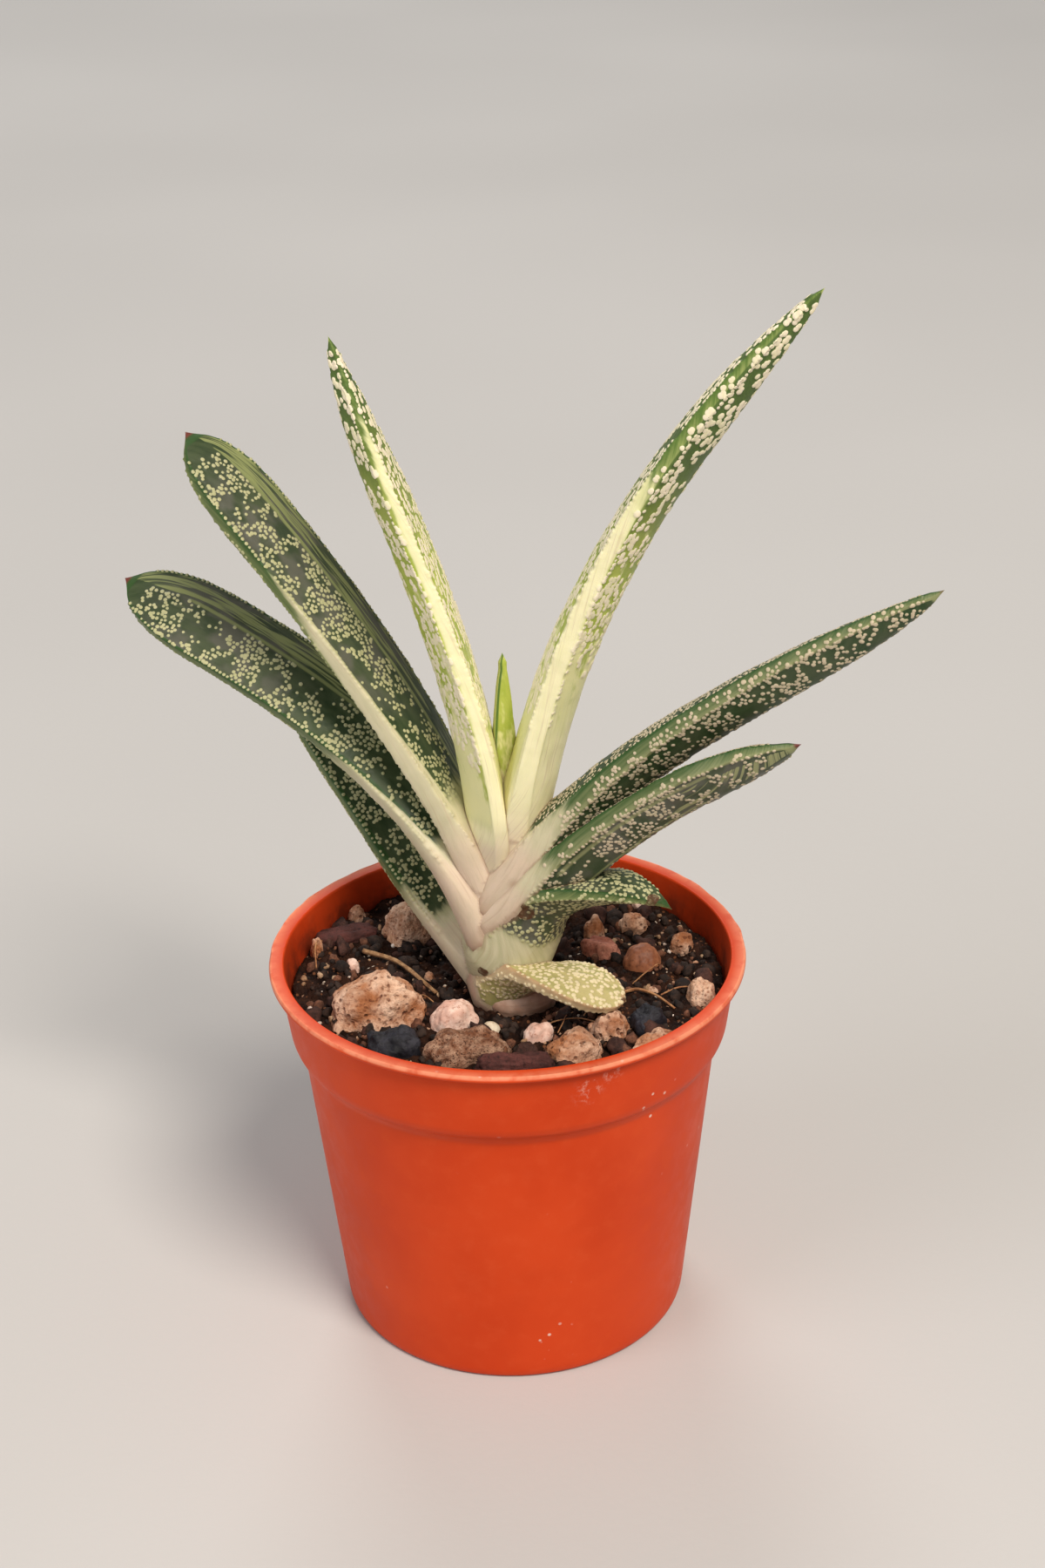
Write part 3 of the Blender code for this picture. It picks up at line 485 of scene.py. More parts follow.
def leaf_frames(leaf):
    """Points along a leaf with the directions of its blade, from heading, rise and twist."""
    steps = 400
    p = np.array((AXIS[0] + leaf.get("x", 0.0), AXIS[1], leaf["z"]), dtype=float)
    e0, e1, e2 = leaf["el"]
    out, last = [], None
    for i in range(steps + 1):
        t = i / steps
        az = math.radians(leaf["az"][0] + (leaf["az"][1] - leaf["az"][0]) * ease(t))
        el = math.radians(e0 * (1 - t) * (1 - 2 * t) + e1 * 4 * t * (1 - t) + e2 * t * (2 * t - 1))
        tan = np.array((math.cos(el) * math.cos(az), math.cos(el) * math.sin(az), math.sin(el)))
        if last is not None:
            p = p + (tan + last) * 0.5 * leaf["L"] / steps
        last = tan
        up = np.array((-math.sin(el) * math.cos(az), -math.sin(el) * math.sin(az), math.cos(el)))
        side = np.array((math.sin(az), -math.cos(az), 0.0))
        roll = math.radians(leaf["roll"][0] + (leaf["roll"][1] - leaf["roll"][0]) * ease(t))
        n = up * math.cos(roll) + side * math.sin(roll)
        b = side * math.cos(roll) - up * math.sin(roll)
        out.append((p, n, b, tan))
    return [np.array(column) for column in zip(*out)]


def leaf_section(leaf, t, face_n, side_n):
    """Outline of one section: x and y of its points, and the half width."""
    wb, wm, we = leaf["w"]
    at = leaf["at"]
    if t < at:
        w = wb + (wm - wb) * ease(t / at)
    else:
        w = wm - (wm - we) * ((t - at) / (1 - at)) ** 1.5
    start, a, b = leaf["tip"]
    u = min(1.0, max(0.0, (t - start) / (1 - start)))
    w = max(TIP_R, w * (1 - u ** a) ** b)
    close = (1 - u ** 2.2) ** 0.6
    m0, m1 = leaf["m"]
    m = max(TIP_R * 0.8, 0.5 * (m0 + (m1 - m0) * min(1.0, t / 0.7)) * close)
    crown = leaf["crown"] * close * ease(t / 0.15)
    keel = (leaf["keel"][0] + (leaf["keel"][1] - leaf["keel"][0]) * t) * close
    x = np.linspace(1, -1, face_n)
    turn = np.linspace(0, math.pi, side_n + 2)[1:-1]
    bulge = np.sin(turn) ** 0.7
    lift = np.sign(np.cos(turn)) * np.abs(np.cos(turn)) ** 0.6
    xs = np.concatenate([x * w, -w - 0.25 * m * bulge, -x * w, w + 0.25 * m * bulge])
    ys = np.concatenate([m + crown * (1 - x * x), m * lift,
                         -m - keel * (1 - np.abs(x) ** 1.6), -m * lift])
    depth, thick, blend = leaf["sheath"]
    q = 1 - ease(t * leaf["L"] / blend)
    if q > 0:
        ang = np.arctan2(ys / max(m + crown, 0.01), xs / w)
        xs = xs * (1 - q) + depth * np.cos(ang) * q
        ys = ys * (1 - q) + thick * np.sin(ang) * q
    return xs, ys, w


def leaf_body(leaf):
    """Points of a leaf as rows of rings, with distance along it and half width for each row."""
    p, n, b, tan = leaf_frames(leaf)
    steps = len(p) - 1
    count = int(leaf["L"] / PITCH)
    face_n = max(10, int(2 * max(leaf["w"]) / PITCH))
    side_n = max(4, int(max(leaf["m"]) / PITCH))
    rows, along, width = [], [], []

    def frame_at(t):
        f = t * steps
        i = min(int(f), steps - 1)
        k = f - i
        return [v[i] * (1 - k) + v[i + 1] * k for v in (p, n, b)]

    xs, ys, w = leaf_section(leaf, 0.0, face_n, side_n)
    start = np.outer(xs, b[0]) + np.outer(ys, n[0])
    down = -tan[0] * leaf.get("run", 1.0) - np.array((0.0, 0.0, 1 - leaf.get("run", 1.0)))
    down = down / np.linalg.norm(down)
    below = int(EXTEND / (1.3 * PITCH))
    for k in range(below, 0, -1):
        f = k / below
        rows.append(p[0] + down * EXTEND * f + start * (1 - .45 * f ** 1.6))
        along.append(-EXTEND * f)
        width.append(w)
    for i in range(count + 1):
        u = i / count
        t = min(0.992, 1 - (1 - u) ** 1.15)
        if i and t * leaf["L"] - along[-1] < 0.02:
            break
        xs, ys, w = leaf_section(leaf, t, face_n, side_n)
        at, up, side = frame_at(t)
        rows.append(at + np.outer(xs, side) + np.outer(ys, up))
        along.append(t * leaf["L"])
        width.append(w)
    point = leaf.get("point", POINT)
    apex = p[-1] + tan[-1] * point
    root = frame_at(t)[0]
    ring = rows[-1] - root
    for k in range(1, 6):
        f = k / 6
        rows.append(root + (apex - root) * f + ring * (1 - f) ** 1.15)
        along.append(leaf["L"] * 0.992 + (leaf["L"] * .008 + point) * f)
        width.append(width[-1] * (1 - f) + .05)
    return np.array(rows), np.array(along), np.array(width), face_n, side_n, apex


def outward(rows):
    """Unit normals of rows of rings."""
    along = np.gradient(rows, axis=0)
    around = (np.roll(rows, -1, axis=1) - np.roll(rows, 1, axis=1)) * 0.5
    n = np.cross(along, around)
    return n / np.maximum(np.linalg.norm(n, axis=-1, keepdims=True), 1e-9)


def wart_places(rng, along, girth, specs, banned, seed):
    """Centres of the warts as (row, column, radius), in drifting clusters; specs by column."""
    finest = min(spec[1] for spec in specs if spec)
    pitch = (2.45 if finest < .3 else 2.15) * finest
    ring = girth.shape[1] - 1
    index = np.arange(ring + 1)
    out = []
    for s in np.arange(0.0, along[-1], pitch):
        i = int(np.interp(s, along, np.arange(len(along))))
        count = int(girth[i, -1] / pitch)
        for k in range(count):
            g = (k + .5 + rng.uniform(-.36, .36)) / count * girth[i, -1]
            column = np.interp(g, girth[i], index)
            spec = specs[int(column) % ring]
            at = s + rng.uniform(-.36, .36) * pitch + (k % 2) * .5 * pitch
            chance, scale = rng.random(), rng.uniform(.8, 1.2)
            if not spec or not spec[4] <= at <= spec[5]:
                continue
            share, radius, stretch, (len_s, len_g), first, last = spec
            if chance > (finest / radius) ** 2 / stretch ** .5:
                continue
            place = np.array((at / len_s, g / len_g, seed * 7.3))
            keep = .5 + .36 * cloud(place, 3) + .30 * cloud(place * 2.6, 5) + rng.uniform(-.12, .12)
            fade = min(1.0, (at - first) / 7.0 + .3)
            if keep < 1.0 - share * fade:
                continue
            row = np.interp(at, along, np.arange(len(along)))
            if banned[int(row), int(column) % ring]:
                continue
            r = radius * scale
            out.append((row, column, r))
            if stretch > 1.2:
                far = at + r * stretch * rng.uniform(.2, 1.0)
                out.append((np.interp(far, along, np.arange(len(along))), column, r * .85))
    return out


def store_spots(ob, rows, places, step, caps):
    """Store on each face the two warts nearest to it, so that they are drawn as true rounds."""
    count, ring = rows.shape[:2]
    turned = np.roll(rows, -1, axis=1)
    middle = (rows[:-1] + rows[1:] + turned[:-1] + turned[1:]) / 4
    gaps = np.full((2,) + middle.shape[:2], -9.0)
    centres = np.zeros((2,) + middle.shape)
    sizes = np.full((2,) + middle.shape[:2], -9.0)
    for row, col, r in places:
        i, j = min(int(row), count - 2), int(col) % ring
        fi, fj = row - i, col - int(col)
        centre = ((rows[i, j] * (1 - fj) + turned[i, j] * fj) * (1 - fi)
                  + (rows[i + 1, j] * (1 - fj) + turned[i + 1, j] * fj) * fi)
        reach = int((r + .5) / step) + 1
        part = slice(max(0, i - reach), min(count - 1, i + reach + 2))
        gap = r - np.linalg.norm(middle[part] - centre, axis=-1)
        best = gap > gaps[0][part]
        second = ~best & (gap > gaps[1][part])
        for values, new in ((gaps, gap), (centres, centre), (sizes, r)):
            mark, other = (best[..., None], second[..., None]) if values is centres else (best, second)
            values[1][part] = np.where(mark, values[0][part], np.where(other, new, values[1][part]))
            values[0][part] = np.where(mark, new, values[0][part])
    for k in (0, 1):
        centre = np.concatenate([centres[k].reshape(-1, 3), np.zeros((caps, 3))]) * MM
        size = np.concatenate([sizes[k].ravel(), np.full(caps, -9.0)]) * MM
        layer = ob.data.attributes.new(f"spot{k + 1}", "FLOAT_VECTOR", "FACE")
        layer.data.foreach_set("vector", centre.astype(np.float32).ravel())
        layer = ob.data.attributes.new(f"size{k + 1}", "FLOAT", "FACE")
        layer.data.foreach_set("value", size.astype(np.float32))


def pal_is_dark(look):
    return look["pal"] != "lime"


def make_leaf(leaf, index):
    """Fine leaf with its warts raised and its markings stored on its points."""
    look = LOOKS[leaf["name"]]
    rng = np.random.default_rng(100 + index)
    rows, along, width, face_n, side_n, apex = leaf_body(leaf)
    ring = rows.shape[1]
    length = leaf["L"]
    near = look["near"]
    x = np.concatenate([np.linspace(1, -1, face_n), np.full(side_n, -1.0),
                        np.linspace(-1, 1, face_n), np.full(side_n, 1.0)])
    face = np.repeat([0, 1, 2, 3], [face_n, side_n, face_n, side_n])
    down = (np.arange(side_n) + .5) / side_n
    deep = np.concatenate([np.zeros(face_n), down, np.zeros(face_n), down[::-1]])
    upper, lower = face == 0, face == 2
    near_side = face == (3 if near > 0 else 1)
    far_side = face == (1 if near > 0 else 3)
    s = along[:, None] * np.ones((1, ring))
    half = width[:, None]
    a = (x * near)[None, :] * np.ones_like(s)
    to_near = np.where(near_side, 0.0, (1 - a) * half)
    to_far = np.where(far_side, 0.0, (1 + a) * half)
    around = np.where(near_side, deep, np.where(upper, -to_near, np.where(lower, 1 + to_near, 9.0)))

    places, first_edge, last_edge = zip(*look["band"])
    lo = np.interp(s, places, first_edge)
    hi = np.interp(s, places, last_edge)
    band = smooth(around, lo - .12, lo + .12) * (1 - smooth(around, hi - .12, hi + .12))
    cream = np.zeros_like(s)
    for mask, (start, end) in zip((upper, lower, far_side), (look["base"][k] for k in (0, 1, 3))):
        cream[:, mask] = 1 - smooth(s[:, mask], start, end)
    start, end = look["base"][2]
    places, first_edge, last_edge = zip(*look.get("pale", look["band"]))
    lo = np.interp(s, places, first_edge)
    hi = np.interp(s, places, last_edge)
    pale = smooth(around, lo - .25, lo + .25) * (1 - smooth(around, hi - .25, hi + .25))
    cream = np.maximum(cream, pale * (1 - smooth(s, start, end)))
    if "blush" in look:
        cream[:, lower] = np.maximum(cream, 1 - smooth(a, look["blush"] - .3, look["blush"] + .3))[:, lower]
    cream = cream * (1 + (1 - smooth(s, 6, 20)) + (1 - smooth(s, -4, 5)))
    cream = np.minimum(cream, look.get("most", 3.0))
    rim = 1 - smooth(to_far, .08, .40)
    green = np.maximum(band, rim)
    green = np.maximum(green, (1 - smooth(to_near, .05, .3)) * (pal_is_dark(look)))
    green = np.maximum(green, smooth(s, length - 1.2, length - .2) * pal_is_dark(look))
    # Where the painted grey sheen lies along the leaf.
    painted_sheen = np.zeros_like(s)
    if "painted_sheen" in look:
        first, last = look["painted_sheen"]
        painted_sheen = smooth(s, first - 6, first + 6) * (1 - smooth(s, last - 6, last + 6))
    shade = np.zeros_like(s)
    if "shade" in look:
        shade = smooth(s, *look["shade"])
    streak = np.zeros_like(s)
    for side, left, right, low_level, high_level in look.get("streak", ()):
        mask = upper if side == "up" else lower
        inside = smooth(a, left - .04, left + .04) * (1 - smooth(a, right - .04, right + .04))
        level = low_level + (high_level - low_level) * smooth(s, length * .35, length * .95)
        level = level * smooth(s, length * .16, length * .28)
        streak[:, mask] = (inside * level)[:, mask]
    line = np.full_like(s, -1.0)
    for side, place, wide, start, end in look.get("line", ()):
        mask = upper if side == "up" else lower
        shown = smooth(s, start, start + 6) * (1 - smooth(s, end - 6, end))
        gap = wide - np.abs(a - place) * half - 2.0 * (1 - shown)
        line[:, mask] = np.maximum(line[:, mask], gap[:, mask])
    rust = smooth(s, length - 0.2, length + .7) * look["rust"]
    dry = np.zeros_like(s)
    for place, across, size in look.get("dry", ()):
        far = np.hypot(s - place, (a - across) * half)
        dry = np.maximum(dry, (1 - smooth(far, size * .5, size)) * (to_near < size * 1.5))

    for x0, z0, wide, tall in SCARS:
        away = np.hypot((rows[..., 0] - x0) / wide, (rows[..., 2] - z0) / tall)
        dry = np.maximum(dry, (1 - smooth(away, .55, 1.0)) * (rows[..., 1] < AXIS[1] - 1))

    girth = np.cumsum(np.linalg.norm(np.diff(rows, axis=1, prepend=rows[:, :1]), axis=-1), axis=1)
    closing = np.linalg.norm(rows[:, 0] - rows[:, -1], axis=-1)
    girth = np.concatenate([girth, girth[:, -1:] + closing[:, None]], axis=1)
    dots = np.full_like(s, -1.0)
    places = []
    corners = (0.3, face_n - 1.3, face_n + side_n + .3, 2 * face_n + side_n - 1.3)
    if look["up"]:
        specs = [look["up"] if f == 0 else look["low"] for f in face]
        banned = ((band > .5) & (around < .55)) | (cream > .5) | ((a < look.get("limit", -2.0)) & upper[None, :])
        if pal_is_dark(look):
            banned |= ((near_side & (deep < .55)) | (far_side & (deep < .5)))[None, :]
        places += wart_places(rng, along, girth, specs, banned, index)
        for corner in corners:
            spot = look["up"][4] + rng.uniform(0, 1)
            while spot < length - 1.5:
                if rng.random() < .82:
                    row = np.interp(spot, along, np.arange(len(along)))
                    size = rng.uniform(.17, .27) * (1.0 if pal_is_dark(look) else 1.25)
                    places.append((row, corner, size))
                spot += rng.uniform(.5, .85)
    step = max(.12, length / len(along))
    beads = np.full_like(s, -1.0)
    for row, col, r in places:
        i, j = min(int(row), len(rows) - 2), int(col) % ring
        fi, fj = row - i, col - int(col)
        k = (j + 1) % ring
        centre = ((rows[i, j] * (1 - fj) + rows[i, k] * fj) * (1 - fi)
                  + (rows[i + 1, j] * (1 - fj) + rows[i + 1, k] * fj) * fi)
        reach = int((r + .7) / step) + 1
        first, last = max(0, i - reach), min(len(rows), i + reach + 2)
        gap = r - np.linalg.norm(rows[first:last] - centre, axis=-1)
        dots[first:last] = np.maximum(dots[first:last], gap)
        if any(abs(col - corner) < .01 for corner in corners):
            beads[first:last] = np.maximum(beads[first:last], gap)

    normal = outward(rows)
    lift = WART * smooth(dots, -.16, .18) + BEAD * smooth(beads, -.14, .20)
    ripple = clouds(np.stack([s * .35, to_near * .5, np.full_like(s, index)], -1), 21, 3)
    lift = lift + .05 * ripple * smooth(s, 8, 16) * (1 - smooth(s, length - 4, length - 1))
    rows = rows + normal * lift[..., None]

    flow = np.stack([s, girth[:, :-1], np.full_like(s, 3.7 * index)], -1)
    count = len(rows)
    points = np.concatenate([rows.reshape(-1, 3), rows[:1].mean(axis=1), [apex]])
    values = dict(cream=cream, green=green, streak=streak, line=line, rust=rust, dry=dry, dots=dots,
                  shade=shade, painted_sheen=painted_sheen, tone=np.clip(around, 0, 1) * np.ones_like(s),
                  young=1 - smooth(s, *look.get("young", (-2, -1))))
    attrs = {}
    for key, v in values.items():
        attrs[key] = np.concatenate([v.ravel(), [v[0].mean(), v[-1].max()]])
    attrs["flow"] = np.concatenate([flow.reshape(-1, 3), flow[0, :1], flow[-1, :1]])
    i, j = np.meshgrid(np.arange(count - 1), np.arange(ring), indexing="ij")
    k = (j + 1) % ring
    quads = np.stack([i * ring + j, (i + 1) * ring + j, (i + 1) * ring + k, i * ring + k], -1)
    faces = quads.reshape(-1, 4).tolist()
    low, top = count * ring, count * ring + 1
    for j in range(ring):
        k = (j + 1) % ring
        faces.append([low, j, k])
        faces.append([top, (count - 1) * ring + k, (count - 1) * ring + j])
    mat = leaf_material(leaf["name"] + "_skin", look["pal"], index)
    ob = mesh_object(leaf["name"] + "_skin", points, faces, mat, attrs)
    store_spots(ob, rows, places, step, 2 * ring)
    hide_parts(leaf["name"])
    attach(ob, "root")
    return ob


def mark_creases(leaves):
    """Store how close each point of a leaf base is to the surface of another leaf, for the painted crease shade.
    """
    trees = []
    for ob in leaves:
        mesh = ob.data
        co = np.zeros(len(mesh.vertices) * 3)
        mesh.vertices.foreach_get("co", co)
        trees.append((co.reshape(-1, 3), BVHTree.FromPolygons(co.reshape(-1, 3).tolist(),
                                                               [p.vertices for p in mesh.polygons])))
    reach = CREASE_SHADE_REACH * MM
    for k, ob in enumerate(leaves):
        co = trees[k][0]
        crease = np.zeros(len(co), dtype=np.float32)
        for i in np.nonzero(np.hypot(co[:, 0], co[:, 1] - AXIS[1] * MM) < .013)[0]:
            for j, (_, tree) in enumerate(trees):
                if j != k:
                    hit = tree.find_nearest(co[i], reach)
                    if hit[0] is not None:
                        crease[i] = max(crease[i], 1 - hit[3] / reach)
        ob.data.attributes.new("crease", "FLOAT", "POINT").data.foreach_set("value", crease)


def fillet(points, radius, steps=4):
    """An outline with each inner corner rounded."""
    out = [points[0]]
    for before, at, after in zip(points, points[1:], points[2:]):
        p, q, r = (np.array(v, float) for v in (before, at, after))
        u, v = p - q, r - q
        lu, lv = np.linalg.norm(u), np.linalg.norm(v)
        k = min(radius, lu * .45, lv * .45)
        if at[0] < 1e-6 or before == at or after == at:
            out.append(at)
            continue
        start, end = q + u / lu * k, q + v / lv * k
        for i in range(steps + 1):
            t = i / steps
            point = start * (1 - t) ** 2 + q * 2 * t * (1 - t) + end * t * t
            out.append(tuple(point))
    out.append(points[-1])
    return out


def even_out(points, first=0.12, longest=3.0):
    """Cut long straights, with a short piece at each end so that their shading stays flat."""
    out = [points[0]]
    for p, q in zip(points, points[1:]):
        length = math.dist(p, q)
        if length > 4 * first:
            inner = max(1, math.ceil((length - 2 * first) / longest))
            cuts = [first] + [first + (length - 2 * first) * (i + 1) / inner for i in range(inner)]
            for c in cuts:
                out.append((p[0] + (q[0] - p[0]) * c / length, p[1] + (q[1] - p[1]) * c / length))
        out.append(q)
    return out


def revolve(name, outline, segments, mat, centre=(0.0, 0.0)):
    """Turn an outline of (radius, height) points from the axis to the axis."""
    verts, rows = [], []
    for r, z in outline:
        if r < 1e-6:
            rows.append([len(verts)] * segments)
            verts.append((centre[0], centre[1], z))
        else:
            start = len(verts)
            for k in range(segments):
                a = math.tau * k / segments
                verts.append((centre[0] + r * math.cos(a), centre[1] + r * math.sin(a), z))
            rows.append(list(range(start, start + segments)))
    faces = []
    for a, b in zip(rows, rows[1:]):
        for k in range(segments):
            n = (k + 1) % segments
            ring = [a[k], a[n], b[n], b[k]]
            face = [v for i, v in enumerate(ring) if v not in ring[:i]]
            if len(face) > 2:
                faces.append(face)
    return mesh_object(name, np.array(verts), faces, mat)


def pot_material():
    """Satin moulded plastic with faint flow marks, dust, and an inside darkened by soil dirt and painted shade.
    """
    s = Shader("pot_plastic")
    at = s.place()
    soft = s.noise(at, 60.0, 3.0, .55)
    col = s.mix(s.step(soft, .3, .7), (.585, .048, .0065), (.66, .062, .010))
    fine = s.noise(at, 420.0, 4.0, .6)
    col = s.mix(s.step(fine, .45, .8, (0.0, .12)), col, (.78, .15, .05))
    col = s.mix(s.mul(s.attr("edge"), s.step(fine, .30, .60, (.35, .95))), col, (.86, .30, .17))
    dust = s.voronoi(at, 620.0)
    patch = s.noise(at, 110.0, 3.0, .6)
    specks = s.mul(s.step(dust, .20, .08), s.step(s.add(patch, s.mul(s.attr("edge"), .12)), .60, .70))
    col = s.mix(s.mul(specks, .8), col, (.84, .66, .56))
    smear = s.mul(s.step(s.noise(at, 700.0, 4.0, .7), .50, .66), s.attr("smear"))
    col = s.mix(smear, col, (.82, .52, .42))
    inside = s.attr("inside")
    # Inside wall darker: partly soil dirt, partly painted shade.
    soil_and_shade = s.mul(inside, s.step(s.noise(at, 240.0, 4.0, .65), .35, .70, (.35, .90)))
    col = s.mix(soil_and_shade, col, (.10, .018, .008))
    rough = s.step(fine, .3, .8, (.40, .54))
    rough = s.add(rough, s.mul(inside, .12))
    height = s.add(s.mul(soft, .4), s.add(s.mul(fine, .3), s.mul(specks, .5)))
    return s.finish(col, rough, s.bump(height, .00006, .6), Specular_IOR_Level=.13)


def make_pot():
    """Thin pot with a flat flange, a straight collar, a stepped tapering body and drain holes."""
    inner_collar = COLLAR_R[1] - WALL
    inner_body = BODY_R[0] - WALL
    inner_base = BODY_R[1] - WALL
    profile = [
        (0.0, 0.0), (BODY_R[1] - 0.7, 0.0), (BODY_R[1] - 0.1, 0.35), (BODY_R[1] + 0.15, 1.2),
        (BODY_R[0] - 0.1, BODY_Z - 0.8), (BODY_R[0] + 0.45, BODY_Z + 0.3),
        (COLLAR_R[1] - 0.3, COLLAR_Z - 0.6), (COLLAR_R[1], COLLAR_Z + 0.3),
        (COLLAR_R[0], POT_TOP - LIP_T - 0.25), (LIP_R - 0.15, POT_TOP - LIP_T),
        (LIP_R, POT_TOP - LIP_T * 0.5), (LIP_R - 0.15, POT_TOP),
        (MOUTH_R + 0.15, POT_TOP), (MOUTH_R, POT_TOP - 0.2),
        (inner_collar + 0.5, COLLAR_Z + 1.4), (inner_body, BODY_Z - 1.2),
        (inner_base, FLOOR + 0.8), (inner_base - 0.8, FLOOR), (0.0, FLOOR),
    ]
    mat = pot_material()
    pot = revolve("pot_shell", even_out(fillet(profile, 0.35)), POT_SEG, mat)
    flip_to_outside(pot)
    for k in range(DRAIN_N):
        a = math.tau * (k + 0.5) / DRAIN_N
        at = (DRAIN_AT * math.cos(a), DRAIN_AT * math.sin(a))
        tool = revolve(f"drain_{k}", [(0.0, -2.0), (DRAIN_R, -2.0), (DRAIN_R, 4.0), (0.0, 4.0)],
                       36, mat, at)
        flip_to_outside(tool)
        mod = pot.modifiers.new("cut", "BOOLEAN")
        mod.operation, mod.solver, mod.object = "DIFFERENCE", "EXACT", tool
        mesh = bpy.data.meshes.new_from_object(
            pot.evaluated_get(bpy.context.evaluated_depsgraph_get()))
        pot.modifiers.clear()
        pot.data = mesh
        bpy.data.objects.remove(tool, do_unlink=True)
    roughen_lip(pot)
    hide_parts("pot")
    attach(pot, "root")
    return pot


def roughen_lip(pot):
    """A thin uneven flash along the outer edge of the flange."""
    co = np.zeros(len(pot.data.vertices) * 3)
    pot.data.vertices.foreach_get("co", co)
    co = co.reshape(-1, 3) / MM
    r = np.hypot(co[:, 0], co[:, 1])
    ang = np.arctan2(co[:, 1], co[:, 0])
    on_lip = smooth(r, LIP_R - .45, LIP_R - .1) * smooth(co[:, 2], POT_TOP - .7, POT_TOP - .3)
    place = np.stack([np.cos(ang) * 9, np.sin(ang) * 9, co[:, 2] * 0], -1)
    uneven = clouds(place, 5, 4, .6)
    co[:, 2] += on_lip * (.10 + .12 * uneven)
    shrink = 1 - on_lip * (.0018 - .0014 * uneven)
    co[:, 0] *= shrink
    co[:, 1] *= shrink
    pot.data.vertices.foreach_set("co", (co * MM).ravel())
    outer = np.interp(co[:, 2], (0, BODY_Z, COLLAR_Z, POT_TOP), (BODY_R[1], BODY_R[0], *COLLAR_R[::-1]))
    inside = ((outer - r > WALL * .6) & (co[:, 2] > FLOOR * .7)).astype(np.float32)
    # The painted inside shade and dirt fade out towards the rim.
    inside *= smooth(co[:, 2], POT_TOP, POT_TOP - 4.0)
    edge = smooth(r, LIP_R - .75, LIP_R - .25) * smooth(co[:, 2], POT_TOP - .6, POT_TOP - .25)
    smear = np.zeros(len(co))
    for bearing, level, wide, tall in SMEARS:
        turn = np.angle(np.exp(1j * (ang - math.radians(bearing)))) * r
        smear = np.maximum(smear, np.exp(-(turn / wide) ** 2 - ((co[:, 2] - level) / tall) ** 2))
    smear = smear * (outer - r < WALL * .6)
    for key, values in (("inside", inside), ("edge", edge), ("smear", smear)):
        layer = pot.data.attributes.new(key, "FLOAT", "POINT")
        layer.data.foreach_set("value", np.asarray(values, dtype=np.float32))
    pot.data.update()


def flip_to_outside(ob):
    bm = bmesh.new()
    bm.from_mesh(ob.data)
    bmesh.ops.recalc_face_normals(bm, faces=bm.faces)
    if bm.calc_volume(signed=True) < 0:
        bmesh.ops.reverse_faces(bm, faces=bm.faces)
    bm.to_mesh(ob.data)
    bm.free()


def soil_height(x, y):
    """Smooth level of the soil at a point."""
    return SOIL_MID + (SOIL_EDGE - SOIL_MID) * np.minimum(1.0, np.hypot(x, y) / SOIL_R) ** 2


def stone_reach(x, y):
    """Smallest distance from each point to the outline of a loose piece."""
    best = np.full(np.shape(x), 99.0)
    for cx, cy, half, turn in [row[1:5] for row in STONES]:
        a = math.radians(turn)
        u = (x - cx) * math.cos(a) + (y - cy) * math.sin(a)
        v = -(x - cx) * math.sin(a) + (y - cy) * math.cos(a)
        k = np.hypot(u / half[0], v / half[1])
        best = np.minimum(best, (k - 1.0) * min(half[0], half[1]))
    for _, way, r in STRAWS:
        for p, q in zip(way, way[1:]):
            for i in range(7):
                t = i / 6
                d = np.hypot(x - p[0] - (q[0] - p[0]) * t, y - p[1] - (q[1] - p[1]) * t)
                best = np.minimum(best, d - r)
    return best


def soil_top(x, y):
    """Level of the crumbly soil, banked up against the loose pieces."""
    level = soil_height(x, y)
    reach = stone_reach(x, y)
    place = np.stack([x, y, np.full_like(x, SEED)], -1)
    lumps = clouds(place * .45, 3, 4, .55)
    far, mark = cells(place * .75, 8)
    crumb = np.clip(.62 - far, 0, .62) * (.5 + mark)
    far2, mark2 = cells(place * 1.7, 4)
    crumb2 = np.clip(.6 - far2, 0, .6) * (.4 + mark2)
    free = smooth(reach, -.2, 1.5)
    bank = .75 * np.exp(-(np.maximum(reach, 0) / 1.2) ** 2)
    edge = smooth(np.hypot(x, y), SOIL_R - 1.2, SOIL_R) * .3
    return level + bank * .8 + (.45 * lumps + 1.1 * crumb + .55 * crumb2) * (.35 + .65 * free) - edge


def soil_material():
    """Dark peat with brown, orange and pale specks and a few bright grains."""
    s = Shader("soil_peat")
    at = s.place()
    big = s.noise(at, 380.0, 4.0, .65)
    col = s.mix(s.step(big, .35, .65), (.009, .004, .003), (.040, .016, .009))
    flecks = s.voronoi(at, 1500.0, "Color")
    pick = s.node("ShaderNodeSeparateColor", Color=flecks).outputs["Red"]
    near = s.step(s.voronoi(at, 1500.0), .42, .30)
    col = s.mix(s.mul(s.step(pick, .80, .82), near), col, (.16, .062, .028))
    col = s.mix(s.mul(s.step(pick, .93, .94), near), col, (.42, .25, .16))
    col = s.mix(s.mul(s.step(pick, .978, .98), near), col, (.78, .66, .54))
    rough = s.step(s.noise(at, 2100.0, 2.0), .3, .7, (.55, .98))
    height = s.add(s.noise(at, 1300.0, 5.0, .7), s.mul(near, .4))
    return s.finish(col, rough, s.bump(height, .0004, .9), Specular_IOR_Level=.10)


